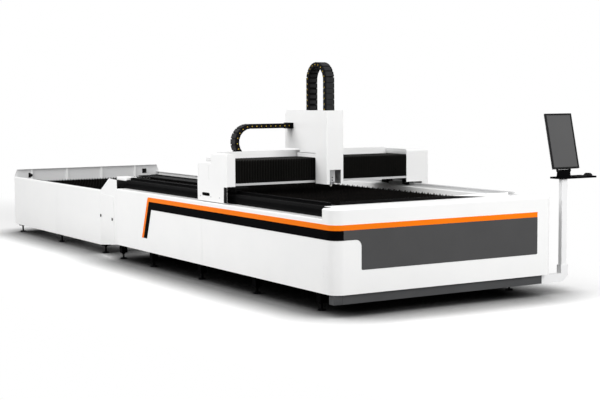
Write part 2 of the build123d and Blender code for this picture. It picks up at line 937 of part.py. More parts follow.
# Chain drive of the exchange table
def toothed_outline(teeth, root, tip):
    """Outline of a toothed wheel: pointed teeth between two radii."""
    root_share = 1 / 2
    points = []
    for number in range(teeth):
        for radius, share in ((root, root_share), (tip, 0)):
            angle = 2 * math.pi * (number + share) / teeth
            points.append((radius * math.cos(angle), radius * math.sin(angle)))
    return points


def chain_shaft(depth):
    """Cross shaft with two sprockets."""
    half = exchange_beam_inner - shaft_end_gap
    root = sprocket_radius - sprocket_tooth_height
    with BuildPart() as shaft:
        with BuildSketch(side_plane(half)):
            with Locations((-depth, shaft_height)):
                Circle(shaft_radius)
        extrude(amount=2 * half)
        for side in sides:
            with BuildSketch(side_plane(side * sprocket_offset + sprocket_width / 2)):
                with Locations((-depth, shaft_height)):
                    Polygon(*toothed_outline(sprocket_teeth, root, sprocket_radius), align=None)
            extrude(amount=sprocket_width)
    return shaft


save(chain_shaft(drive_shaft_depth), "drive_shaft")
save(chain_shaft(idler_shaft_depth), "idler_shaft")

shaft_bore = shaft_radius + shaft_clearance
with BuildPart() as shaft_bearings:
    for depth, side in ((drive_shaft_depth, 1), (idler_shaft_depth, -1), (idler_shaft_depth, 1)):
        face = exchange_beam_inner if side > 0 else bearing_width - exchange_beam_inner
        with BuildSketch(side_plane(face)):
            with Locations((-depth, shaft_height)):
                RegularPolygon(bearing_radius, bearing_sides)
                RegularPolygon(shaft_bore, bearing_sides, major_radius=False, mode=Mode.SUBTRACT)
        extrude(amount=bearing_width)
save(shaft_bearings, "shaft_bearings")

with BuildPart() as exchange_gear_motor:
    with BuildSketch(side_plane(gearbox_width - exchange_beam_inner)) as case:
        with Locations((-drive_shaft_depth, shaft_height)):
            Rectangle(gearbox_size, gearbox_size)
            RegularPolygon(shaft_bore, bearing_sides, major_radius=False, mode=Mode.SUBTRACT)
    extrude(amount=gearbox_width)
    with BuildSketch(length_plane(drive_shaft_depth - gearbox_size / 2)):
        with Locations((gearbox_width / 2 - exchange_beam_inner + panel_edge_radius, shaft_height)):
            RegularPolygon(drive_motor_radius, bearing_sides)
    extrude(amount=drive_motor_length)
    chamfer(exchange_gear_motor.faces().sort_by(Axis.X)[-1].edges(), drive_motor_cap / 2)
save(exchange_gear_motor, "exchange_gear_motor")



def band_outline(radius):
    """Outline of a closed band round both shafts, with flat steps at its turns."""
    half_span = (drive_shaft_depth - idler_shaft_depth) / 2
    reach = radius / math.cos(math.pi / bearing_sides)
    points = []
    for end in sides:
        for step in range(bearing_sides // 2):
            angle = math.pi * (step + 1 / 2) / (bearing_sides // 2) - math.pi / 2
            points.append((end * (half_span + reach * math.cos(angle)), end * reach * math.sin(angle)))
    return points


with BuildPart() as drive_chains:
    for side in sides:
        with BuildSketch(side_plane(side * sprocket_offset + sprocket_width / 2)):
            with Locations((-(drive_shaft_depth + idler_shaft_depth) / 2, shaft_height)):
                inner = sprocket_radius + run_clearance
                Polygon(*band_outline(inner + chain_band), align=None)
                Polygon(*band_outline(inner), align=None, mode=Mode.SUBTRACT)
        extrude(amount=sprocket_width)
save(drive_chains, "drive_chains")


# Pallets: frame bars with roller pins, serrated slats, rollers
def roller_depths(depth):
    """Depths of the rollers along a pallet that starts at a depth."""
    span = pallet_length - 2 * roller_end_inset
    return [depth + roller_end_inset + span * number / (roller_count - 1) for number in range(roller_count)]


def roller_height(tip):
    """Height of the roller axles of a pallet with its slat tips at a height."""
    return tip - roller_drop + roller_radius


def pallet_frame(depth, tip):
    """Two side bars with roller pins and two end bars between them."""
    heights = (tip - pallet_bar_bottom_drop, tip - pallet_bar_top_drop)
    inner = pallet_half - pallet_bar
    with BuildPart() as frame:
        for side in sides:
            block((depth, depth + pallet_length), (side * inner, side * pallet_half), heights)
            pin_length = roller_width + 2 * roller_gap
            pin_face = pallet_half + pin_length if side > 0 else -pallet_half
            with BuildSketch(side_plane(pin_face)):
                for roller_depth in roller_depths(depth):
                    with Locations((-roller_depth, roller_height(tip))):
                        RegularPolygon(roller_pin_radius, pin_sides)
            extrude(amount=pin_length)
        for start in (depth, depth + pallet_length - pallet_bar):
            block((start, start + pallet_bar), (weld_gap - inner, inner - weld_gap), heights)
    return frame


def slat_outline(tip):
    """Outline of a serrated slat: a straight foot and a row of pointed teeth."""
    half = pallet_half - pallet_bar
    valley = tip - slat_tooth_height
    teeth = int(2 * half // slat_tooth_pitch)
    pitch = 2 * half / teeth
    points = [(half, tip - slat_height), (-half, tip - slat_height), (-half, valley)]
    for number in range(teeth):
        middle = (number + 0.5) * pitch - half
        points.append((middle, tip))
        points.append((middle + 0.5 * pitch, valley))
    return points


def pallet_slats(depth, tip):
    """Row of serrated slats across a pallet."""
    clear = pallet_length - 2 * pallet_bar
    count = int(clear // slat_pitch)
    first = depth + pallet_bar + (clear - (count - 1) * slat_pitch) / 2
    planes = [length_plane(first + number * slat_pitch + slat_wall / 2) for number in range(count)]
    with BuildPart() as slats:
        with BuildSketch(*planes):
            Polygon(*slat_outline(tip), align=None)
        extrude(amount=slat_wall)
    return slats


def roller_outline(turning):
    """Outside of a roller: round where it turns on its pin, many-sided where it stands still."""
    if turning:
        Circle(roller_radius - run_clearance)
    else:
        RegularPolygon(roller_radius - run_clearance, bearing_sides)


def pallet_rollers(depths, tip, turning):
    """Pairs of rollers at some depths, with a bore for the pins of the frame."""
    with BuildPart() as rollers:
        for side in sides:
            face = pallet_half + roller_gap + roller_width if side > 0 else -pallet_half - roller_gap
            with BuildSketch(side_plane(face)):
                for roller_depth in depths:
                    with Locations((-roller_depth, roller_height(tip))):
                        roller_outline(turning)
                        RegularPolygon(
                            roller_pin_radius + run_clearance,
                            pin_sides,
                            major_radius=False,
                            mode=Mode.SUBTRACT,
                        )
            extrude(amount=roller_width)
    return rollers


low_tip_height = tip_height - pallet_level_step
save(pallet_frame(bed_pallet_depth, tip_height), "bed_pallet_frame")
save(pallet_slats(bed_pallet_depth, tip_height), "bed_pallet_slats")
for number, roller_depth in enumerate(roller_depths(bed_pallet_depth)):
    save(pallet_rollers([roller_depth], tip_height, True), f"bed_pallet_rollers_{number + 1}")
save(pallet_frame(exchange_pallet_depth, low_tip_height), "exchange_pallet_frame")
save(pallet_slats(exchange_pallet_depth, low_tip_height), "exchange_pallet_slats")
save(pallet_rollers(roller_depths(exchange_pallet_depth), low_tip_height, False), "exchange_pallet_rollers")

# Gantry: box beam, trough, trucks on slider blocks
with BuildPart() as cross_beam:
    with BuildSketch(side_plane(beam_half)):
        with Locations((-(beam_front_depth + beam_rear_depth) / 2, (beam_bottom + beam_top) / 2)):
            Rectangle(beam_rear_depth - beam_front_depth, beam_top - beam_bottom)
            Rectangle(
                beam_rear_depth - beam_front_depth - 2 * beam_wall,
                beam_top - beam_bottom - 2 * beam_wall,
                mode=Mode.SUBTRACT,
            )
    extrude(amount=2 * beam_half)
    block(
        (flange_front_depth, beam_rear_depth),
        (-beam_half, beam_half),
        (beam_bottom - flange_height, beam_bottom),
    )
save(cross_beam, "cross_beam")

with BuildPart() as chain_trough:
    with BuildSketch(side_plane(cover_far_inner)):
        Polygon(
            (-trough_front_depth, beam_top),
            (-trough_front_depth, trough_front_top),
            (-trough_front_depth - sheet_wall, trough_front_top),
            (-trough_front_depth - sheet_wall, beam_top + sheet_wall),
            (sheet_wall - beam_rear_depth, beam_top + sheet_wall),
            (sheet_wall - beam_rear_depth, trough_rear_top),
            (-beam_rear_depth, trough_rear_top),
            (-beam_rear_depth, beam_top),
            align=None,
        )
    extrude(amount=cover_far_inner + beam_half)
save(chain_trough, "chain_trough")

with BuildPart() as gantry_trucks:
    for side in sides:
        block(
            (truck_front_depth, truck_rear_depth),
            (side * (girder_inner - truck_side), side * (girder_outer + truck_side)),
            (truck_bottom, beam_bottom - flange_height),
        )
        for start in (truck_front_depth + block_inset, truck_rear_depth - block_inset - block_length):
            block(
                (start, start + block_length),
                (side * rail_offset - block_width / 2, side * rail_offset + block_width / 2),
                (truck_bottom - block_drop, truck_bottom),
            )
        groove = rail_width / 2 + slide_clearance
        block(
            (truck_front_depth, truck_rear_depth),
            (side * rail_offset - groove, side * rail_offset + groove),
            (seat_top, seat_top + rail_height + slide_clearance),
            mode=Mode.SUBTRACT,
        )
save(gantry_trucks, "gantry_trucks")

# Gantry drives: vertical motor and gearbox on each truck, pinion beside the rack
drive_offset = girder_outer + rack_thickness + pinion_gap + pinion_radius
with BuildPart() as gantry_drives:
    for side in sides:
        spot = (-drive_depth, side * drive_offset)
        with BuildSketch(floor_plane(truck_bottom)):
            with Locations(spot):
                Rectangle(drive_size, drive_size)
                RegularPolygon(
                    pinion_shaft_radius + run_clearance, pin_sides, major_radius=False, mode=Mode.SUBTRACT
                )
        extrude(amount=drive_gearbox_height)
        with BuildSketch(floor_plane(truck_bottom + drive_gearbox_height)):
            with Locations(spot):
                Rectangle(drive_size - 2 * run_clearance, drive_size - 2 * run_clearance)
        extrude(amount=drive_motor_height)
        with BuildSketch(floor_plane(truck_bottom + drive_gearbox_height + drive_motor_height)):
            with Locations(spot):
                RegularPolygon(drive_cap_size / 2, pin_sides)
        extrude(amount=drive_cap_height)
save(gantry_drives, "gantry_drives")

for side, place in zip(sides, ("near", "far")):
    spot = (-drive_depth, side * drive_offset)
    with BuildPart() as pinion:
        with BuildSketch(floor_plane(rack_bottom)):
            with Locations(spot):
                Polygon(*toothed_outline(pinion_teeth, pinion_root_radius, pinion_radius), align=None)
        extrude(amount=rack_top - rack_bottom)
        with BuildSketch(floor_plane(rack_top)):
            with Locations(spot):
                Circle(pinion_shaft_radius)
        extrude(amount=truck_bottom + drive_gearbox_height / 2 - rack_top)
    save(pinion, f"drive_pinion_{place}")

# End covers of the gantry
with BuildPart() as end_cover_near:
    with BuildSketch(side_plane(-cover_near_inner)) as outline:
        Polygon(
            (-gantry_front_depth, cover_near_bottom),
            (-gantry_front_depth, cover_high_top),
            (-cover_step_depth, cover_high_top),
            (-cover_step_depth, cover_low_top),
            (-gantry_rear_depth, cover_low_top),
            (-gantry_rear_depth, cover_near_bottom),
            align=None,
        )
    extrude(amount=cover_near_outer - cover_near_inner)
    skin = end_cover_near.faces().sort_by(Axis.Y)[0]
    chamfer(skin.edges().filter_by(lambda edge: edge.center().Z > cover_skirt_height), cover_edge_chamfer)
    inner_face = end_cover_near.faces().sort_by(Axis.Y)[-1]
    bottom_face = end_cover_near.faces().sort_by(Axis.Z)[0]
    offset(amount=-sheet_wall, openings=[inner_face, bottom_face])
    block(
        (gantry_front_depth - overrun, gantry_rear_depth + overrun),
        (sheet_wall - cover_near_outer, overrun - cover_near_inner),
        (cover_near_bottom - overrun, cover_skirt_height),
        mode=Mode.SUBTRACT,
    )
    with BuildSketch(side_plane(overrun - cover_near_outer)):
        with Locations((-cover_slot_depth, cover_slot_height)):
            SlotOverall(cover_slot_length, cover_slot_width)
    extrude(amount=2 * overrun, mode=Mode.SUBTRACT)
    for depth in cover_groove_depths:
        block(
            (depth - cover_groove_width / 2, depth + cover_groove_width / 2),
            (-cover_near_outer, cover_groove_cut - cover_near_outer),
            (cover_groove_bottom, cover_groove_top),
            mode=Mode.SUBTRACT,
        )
save(end_cover_near, "end_cover_near")

with BuildPart() as end_cover_far:
    block(
        (gantry_front_depth, gantry_rear_depth),
        (cover_far_inner, cover_far_outer),
        (cover_far_bottom, cover_far_top),
    )
    fillet(end_cover_far.faces().sort_by(Axis.Z)[-1].edges().sort_by(Axis.Y)[1:], cover_far_radius)
    inner_face = end_cover_far.faces().sort_by(Axis.Y)[0]
    bottom_face = end_cover_far.faces().sort_by(Axis.Z)[0]
    offset(amount=-sheet_wall, openings=[inner_face, bottom_face])
    block(
        (gantry_front_depth - overrun, gantry_rear_depth + overrun),
        (cover_far_inner - overrun, cover_far_skirt_offset),
        (cover_far_bottom - overrun, cover_far_skirt_height),
        mode=Mode.SUBTRACT,
    )
save(end_cover_far, "end_cover_far")

# Rails and rack for the carriage
with BuildPart() as cross_rails:
    span = (-beam_half, cover_far_inner)
    half = cross_rail_width / 2
    block((top_rail_depth - half, top_rail_depth + half), span, (beam_top, beam_top + cross_rail_height))
    block(
        (beam_front_depth - cross_rail_height, beam_front_depth),
        span,
        (front_rail_height - half, front_rail_height + half),
    )
    block((beam_front_depth - rack_thickness, beam_front_depth), span, (cross_rack_bottom, cross_rack_top))
save(cross_rails, "cross_rails")


# Pleated bellows in front of and over the beam, on both sides of the carriage
def bellows_outline(inset):
    """Section of the bellows: a top sheet and a front sheet, drawn in by an inset."""
    front = gantry_front_depth + inset
    top = bellows_top - inset
    return [
        (-front, bellows_bottom),
        (-front, top),
        (-bellows_back_depth, top),
        (-bellows_back_depth, bellows_top - bellows_top_wall),
        (-gantry_front_depth - bellows_front_wall, bellows_top - bellows_top_wall),
        (-gantry_front_depth - bellows_front_wall, bellows_bottom),
    ]


def bellows(offsets):
    """Pleated cover between two offsets: a thin core with a raised fold at every pitch."""
    length = offsets[1] - offsets[0]
    folds = int(length // bellows_pitch)
    fold_wall = bellows_rib_share * bellows_pitch
    with BuildPart() as cover:
        with BuildSketch(side_plane(offsets[1])):
            Polygon(*bellows_outline(bellows_fold), align=None)
        extrude(amount=length)
        pitch = (length - fold_wall) / folds
        planes = [side_plane(offsets[0] + number * pitch + fold_wall) for number in range(folds + 1)]
        with BuildSketch(*planes):
            Polygon(*bellows_outline(0), align=None)
        extrude(amount=fold_wall)
    return cover


save(
    bellows((bellows_end_gap - cover_near_inner, carriage_offset - head_half - bellows_end_gap)),
    "bellows_near",
)
save(
    bellows((carriage_offset + head_half + bellows_end_gap, cover_far_inner - bellows_end_gap)),
    "bellows_far",
)

# Carriage: an angle casting with slider blocks, and the head housing on it
casting_half = head_half - casting_side_gap
with BuildPart() as carriage_casting:
    with BuildSketch(side_plane(carriage_offset + casting_half)):
        Polygon(
            (-housing_back_depth, casting_bottom),
            (-housing_back_depth, casting_top),
            (-casting_rear_depth, casting_top),
            (-casting_rear_depth, casting_top - casting_top_wall),
            (-housing_back_depth - casting_front_wall, casting_top - casting_top_wall),
            (-housing_back_depth - casting_front_wall, casting_bottom),
            align=None,
        )
    extrude(amount=2 * casting_half)
    span = (carriage_offset - casting_half, carriage_offset + casting_half)
    block(
        (top_rail_depth - casting_block / 2, top_rail_depth + casting_block / 2),
        span,
        (beam_top + slide_clearance, casting_top - casting_top_wall),
    )
    block(
        (housing_back_depth + casting_front_wall, beam_front_depth - slide_clearance),
        span,
        (front_rail_height - casting_block / 2, front_rail_height + casting_block / 2),
    )
    groove = cross_rail_width / 2 + slide_clearance
    block(
        (top_rail_depth - groove, top_rail_depth + groove),
        span,
        (beam_top, beam_top + cross_rail_height + slide_clearance),
        mode=Mode.SUBTRACT,
    )
    block(
        (beam_front_depth - cross_rail_height - slide_clearance, beam_front_depth),
        span,
        (front_rail_height - groove, front_rail_height + groove),
        mode=Mode.SUBTRACT,
    )
save(carriage_casting, "carriage_casting")

with BuildPart() as head_housing:
    with BuildSketch(side_plane(carriage_offset + head_half)):
        Polygon(
            (-housing_front_depth, housing_bottom),
            (-housing_front_depth, housing_top),
            (housing_chamfer - housing_rear_depth, housing_top),
            (-housing_rear_depth, housing_top - housing_chamfer),
            (-housing_rear_depth, housing_rear_bottom),
            (-housing_step_depth, housing_rear_bottom),
            (-housing_step_depth, housing_step_bottom),
            (-housing_back_depth, housing_step_bottom),
            (-housing_back_depth, housing_bottom),
            align=None,
        )
    extrude(amount=2 * head_half)
    fillet(head_housing.faces().sort_by(Axis.X)[-1].edges().filter_by(Axis.Z), housing_edge_radius)
    block(
        (housing_front_depth + cavity_wall, housing_back_depth - cavity_wall),
        (carriage_offset - head_half + cavity_wall, carriage_offset + head_half - cavity_wall),
        (housing_bottom, cavity_top),
        mode=Mode.SUBTRACT,
    )
    block(
        (housing_front_depth - overrun, housing_front_depth + cavity_wall),
        (carriage_offset - notch_half, carriage_offset + notch_half),
        (housing_bottom, notch_top),
        mode=Mode.SUBTRACT,
    )
save(head_housing, "head_housing")

# Cutting head on its slide plate, with the nozzle
slide_back_depth = housing_back_depth - cavity_wall - slide_clearance
with BuildPart() as cutting_head:
    block(
        (slide_back_depth - slide_plate_wall, slide_back_depth),
        (carriage_offset - slide_plate_half, carriage_offset + slide_plate_half),
        (slide_plate_bottom, slide_plate_top),
    )
    block(
        (head_axis_depth, slide_back_depth - slide_plate_wall),
        (carriage_offset - head_clamp_half, carriage_offset + head_clamp_half),
        (head_clamp_bottom, head_clamp_top),
    )
    with BuildSketch(side_plane(carriage_offset)):
        Polygon(
            (-head_axis_depth, head_top),
            (head_radius - head_axis_depth, head_top),
            (head_radius - head_axis_depth, head_cone_top),
            (head_neck_radius - head_axis_depth, head_cone_bottom),
            (head_neck_radius - head_axis_depth, nozzle_top),
            (-head_axis_depth, nozzle_top),
            align=None,
        )
    revolve(axis=Axis(at(head_axis_depth, carriage_offset, 0), (0, 0, 1)))
save(cutting_head, "cutting_head")

with BuildPart() as nozzle:
    with BuildSketch(floor_plane(nozzle_bottom)):
        with Locations((-head_axis_depth, carriage_offset)):
            RegularPolygon(nozzle_radius, bearing_sides)
    extrude(amount=nozzle_top - nozzle_bottom)
    chamfer(nozzle.faces().sort_by(Axis.Z)[0].edges(), nozzle_radius - nozzle_tip_radius)
save(nozzle, "nozzle")


# Drag chains: a row of box links with a window, along straight runs and a half turn
def chain_fit(low_run, high_run):
    """Number of links on a chain and the pitch that fits them to its length."""
    total = low_run + math.pi * chain_radius + high_run
    count = int(total // link_pitch)
    return count, total / count


def chain_path(low_run, high_run):
    """Places along a chain as (distance along, height above the low run, turn in degrees), link by link.

    The chain runs from the end of the low run to the bend at zero, round it and back along the high run.
    """
    half_turn = math.pi * chain_radius
    count, pitch = chain_fit(low_run, high_run)
    spots = []
    for number in range(count):
        along = (number + 0.5) * pitch
        if along < low_run:
            spots.append((low_run - along, 0, 180))
        elif along < low_run + half_turn:
            angle = (along - low_run) / chain_radius
            spots.append(
                (
                    -chain_radius * math.sin(angle),
                    chain_radius * (1 - math.cos(angle)),
                    180 - math.degrees(angle),
                )
            )
        else:
            spots.append((along - low_run - half_turn, 2 * chain_radius, 0))
    return spots


def drag_chain(low_run, high_run, place):
    """Row of links along a chain path, where place turns a spot into a location of the frame."""
    link_length = chain_fit(low_run, high_run)[1] - link_gap
    with BuildPart() as chain:
        with Locations(*[place(*spot) for spot in chain_path(low_run, high_run)]):
            Box(link_width, link_length, link_thickness)
    return chain


def cross_chain_place(along, rise, turn):
    """Location of a link of the chain along the beam."""
    point = at(cross_chain_depth, cross_chain_centre + along, cross_chain_low + rise)
    return Location(point, (turn, 0, 0))


def head_chain_place(along, rise, turn):
    """Location of a link of the arch over the head, which stands with its bend at the top."""
    point = at(
        head_chain_depth - chain_radius + rise,
        carriage_offset,
        head_chain_top - chain_radius - link_thickness / 2 - along,
    )
    return Location(point, (0, turn - 90, 90))


save(
    drag_chain(
        cross_chain_fixed - cross_chain_centre,
        carriage_offset - head_half - cross_chain_bracket - cross_chain_centre,
        cross_chain_place,
    ),
    "cross_chain",
)
head_chain_run = head_chain_top - chain_radius - link_thickness / 2 - housing_top
save(drag_chain(head_chain_run, head_chain_run, head_chain_place), "head_chain")

# Operator stand: arm with a mitred elbow, post, tray, monitor
with BuildPart() as stand_arm:
    with BuildSketch(length_plane(arm_depth + arm_wall)):
        Polygon(
            (arm_inner, arm_bottom),
            (elbow_outer - elbow_chamfer, arm_bottom),
            (elbow_outer, arm_bottom + elbow_chamfer),
            (elbow_outer, elbow_top),
            (elbow_inner, elbow_top),
            (elbow_inner, arm_top),
            (arm_inner, arm_top),
            align=None,
        )
    extrude(amount=arm_wall)
save(stand_arm, "stand_arm")

post_offset = (elbow_inner + elbow_outer) / 2
post_centre_depth = arm_depth + arm_wall / 2
with BuildPart() as stand_post:
    with BuildSketch(floor_plane(elbow_top)) as section:
        with Locations((-post_centre_depth, post_offset)):
            Rectangle(post_depth, post_width)
        chamfer(section.vertices(), post_edge_chamfer)
    extrude(amount=tray_bottom - elbow_top)
save(stand_post, "stand_post")

tray_outer = bed_half + stand_reach
with BuildPart() as keyboard_tray:
    with BuildSketch(floor_plane(tray_bottom)) as outline:
        with Locations((-(tray_front_depth + tray_depth / 2), (tray_inner + tray_outer) / 2)):
            Rectangle(tray_depth, tray_outer - tray_inner)
        chamfer(outline.vertices(), tray_corner_chamfer)
    extrude(amount=tray_rim)
    offset(amount=-tray_wall, openings=[keyboard_tray.faces().sort_by(Axis.Z)[-1]])
save(keyboard_tray, "keyboard_tray")

tray_floor = tray_bottom + tray_wall
bracket_outer = bracket_inner + bracket_length
tilt_depth = bracket_depth + bracket_wall / 2
with BuildPart() as monitor_bracket:
    with BuildSketch(side_plane(bracket_outer)):
        Polygon(
            (-bracket_depth, tray_floor),
            (-bracket_depth - bracket_wall, tray_floor),
            (-tilt_depth - tilt_barrel_radius, tilt_height),
            (tilt_barrel_radius - tilt_depth, tilt_height),
            align=None,
        )
        with Locations((-tilt_depth, tilt_height)):
            RegularPolygon(tilt_barrel_radius, pin_sides)
    extrude(amount=bracket_length)
    with BuildSketch(side_plane(bracket_outer + tilt_ear_wall + run_clearance)):
        with Locations((-tilt_depth, tilt_height)):
            Circle(tilt_pin_radius)
    extrude(amount=bracket_length + 2 * (tilt_ear_wall + run_clearance))
save(monitor_bracket, "monitor_bracket")

tilt = math.radians(tilt_angle)
tilt_normal = Vector(math.cos(tilt), 0, math.sin(tilt))
monitor_plane = Plane(origin=at(tilt_depth, monitor_offset, tilt_height), x_dir=(0, 1, 0), z_dir=tilt_normal)
screen_plane = monitor_plane.offset(monitor_wall / 2)
with BuildPart() as monitor_shell:
    with BuildSketch(screen_plane):
        with Locations((0, monitor_rise + monitor_height / 2)):
            Rectangle(monitor_width, monitor_height)
    extrude(amount=-monitor_rim_wall)
    with BuildSketch(screen_plane.offset(-monitor_rim_wall)):
        with Locations((0, monitor_rise + monitor_height / 2)):
            Rectangle(monitor_width, monitor_height)
    with BuildSketch(screen_plane.offset(-monitor_wall)):
        with Locations((0, monitor_rise + monitor_height / 2)):
            Rectangle(monitor_width - 2 * monitor_back_inset, monitor_height - 2 * monitor_back_inset)
    loft()
    with BuildSketch(screen_plane):
        with Locations((0, monitor_rise + monitor_height / 2)):
            Rectangle(monitor_width - 2 * screen_border, monitor_height - 2 * screen_border)
    extrude(amount=-screen_wall, mode=Mode.SUBTRACT)
    for ear in (bracket_inner - run_clearance, bracket_outer + run_clearance + tilt_ear_wall):
        with BuildSketch(Plane(origin=at(tilt_depth, ear, tilt_height), x_dir=tilt_normal, z_dir=(0, -1, 0))):
            RegularPolygon(tilt_ear_radius, pin_sides)
            with Locations((0, monitor_rise)):
                Rectangle(2 * tilt_ear_radius, 2 * monitor_rise)
            Circle(tilt_pin_radius + run_clearance, mode=Mode.SUBTRACT)
        extrude(amount=tilt_ear_wall)
save(monitor_shell, "monitor_shell")

with BuildPart() as monitor_screen:
    with BuildSketch(screen_plane.offset(-screen_wall)):
        with Locations((0, monitor_rise + monitor_height / 2)):
            Rectangle(monitor_width - 2 * screen_border, monitor_height - 2 * screen_border)
    extrude(amount=screen_wall)
save(monitor_screen, "monitor_screen")

tray_centre_depth = tray_front_depth + tray_depth / 2
with BuildPart() as keyboard_mouse:
    with BuildSketch(floor_plane(tray_floor)):
        with Locations((-tray_centre_depth, keyboard_offset)):
            Rectangle(keyboard_width, keyboard_length)
    extrude(amount=keyboard_height, taper=keyboard_taper)
    with BuildSketch(floor_plane(tray_floor)) as outline:
        with Locations((-tray_centre_depth, mouse_offset)):
            Rectangle(mouse_length, mouse_width)
        chamfer(outline.vertices(), mouse_corner_chamfer)
    extrude(amount=mouse_height)
    chamfer(keyboard_mouse.faces().sort_by(Axis.Z)[-1].edges(), mouse_edge_chamfer)
save(keyboard_mouse, "keyboard_mouse")
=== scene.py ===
"""Fiber laser cutting machine with an exchange table: finishes, fine detail, studio and camera."""

import logging
import math
from contextlib import contextmanager
from dataclasses import dataclass, field
from enum import Enum
from typing import Iterator, Sequence

import bpy
from mathutils import Matrix, Vector


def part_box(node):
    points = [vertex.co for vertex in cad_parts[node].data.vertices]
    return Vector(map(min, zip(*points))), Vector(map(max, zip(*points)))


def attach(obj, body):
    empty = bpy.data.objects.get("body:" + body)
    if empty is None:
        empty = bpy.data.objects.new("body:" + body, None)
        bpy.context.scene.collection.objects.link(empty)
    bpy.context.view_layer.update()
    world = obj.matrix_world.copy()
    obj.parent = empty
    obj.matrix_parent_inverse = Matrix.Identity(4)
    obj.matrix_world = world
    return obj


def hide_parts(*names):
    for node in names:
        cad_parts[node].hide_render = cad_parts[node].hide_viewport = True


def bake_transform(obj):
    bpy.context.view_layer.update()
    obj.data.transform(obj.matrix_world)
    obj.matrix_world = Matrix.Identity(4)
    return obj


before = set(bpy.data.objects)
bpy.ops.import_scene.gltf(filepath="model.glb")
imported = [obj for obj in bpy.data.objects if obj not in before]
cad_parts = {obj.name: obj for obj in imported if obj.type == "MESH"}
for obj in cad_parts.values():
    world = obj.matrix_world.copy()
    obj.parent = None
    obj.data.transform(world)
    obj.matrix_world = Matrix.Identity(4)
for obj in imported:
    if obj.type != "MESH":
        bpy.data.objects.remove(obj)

Point = tuple[float, float, float]
Colour = tuple[float, float, float]
Span = tuple[float, float]
Piece = bpy.types.Object
Socket = bpy.types.NodeSocket

LOG = logging.getLogger("laser_machine")
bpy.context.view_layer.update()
FRONT_X = 4.340
CENTRE_Y = -0.325
FRONT: Point = (1.0, 0.0, 0.0)
REAR: Point = (-1.0, 0.0, 0.0)
FAR: Point = (0.0, 1.0, 0.0)
NEAR: Point = (0.0, -1.0, 0.0)
UP: Point = (0.0, 0.0, 1.0)
DOWN: Point = (0.0, 0.0, -1.0)
SIDES = ((-1, "near", NEAR), (1, "far", FAR))
MONITOR_TILT = math.radians(13.4)
SCREEN_NORMAL: Point = (math.cos(MONITOR_TILT), 0.0, math.sin(MONITOR_TILT))
FACE_COSINE = 0.9
SMOOTH_ANGLE = 35.0

COAT_ROUGHNESS = 0.12
PATCH_DETAIL = 5.0
PATCH_ROUGHNESS = 0.62
PATCH_SPAN: Span = (0.38, 0.66)
FINE_DETAIL = 4.0
WEAVE_SCALE = 260.0
WEAVE_DISTORTION = 0.6
GLOSS_SPREAD = 0.07
GLOSS_LOWEST = 0.03
RELIEF_DEPTH = 0.001
DUST_HEIGHTS: Span = (0.10, 0.42)
DUST_TONE: Colour = (0.42, 0.40, 0.37)


def at(depth: float, offset: float, height: float) -> Vector:
    """Point for a depth behind the front face, an offset from the centre line and a height.

    Args:
        depth: Distance behind the front face, in metres.
        offset: Distance from the centre line, near side negative.
        height: Height above the floor.

    Returns:
        The point in the shared frame.
    """
    return Vector((FRONT_X - depth, CENTRE_Y + offset, height))


class Grain(Enum):
    """Surface textures of the finishes, each with its scale along the machine, across it and up."""

    PEEL = (170.0, 170.0, 170.0)  # sprayed paint with a faint orange peel
    BRUSHED = (6.0, 420.0, 420.0)  # ground metal with fine lines along the machine
    SCALE = (34.0, 34.0, 34.0)  # rolled steel with mill scale and burnt patches
    MOULDED = (520.0, 520.0, 520.0)  # moulded plastic with a fine spark texture
    WOVEN = (1.0, 1.0, 1.0)  # coated cloth, whose weave has its own scale
    CAST = (240.0, 240.0, 240.0)  # machined casting
    GLASSY = (9.0, 9.0, 9.0)  # smooth display glass


class Body(Enum):
    """Moving groups of the machine that pieces ride on."""

    FRAME = "machine_frame"
    GANTRY = "gantry"
    CARRIAGE = "carriage"
    HEAD = "cutting_head"
    PALLET = "bed_pallet"
    MONITOR = "monitor"


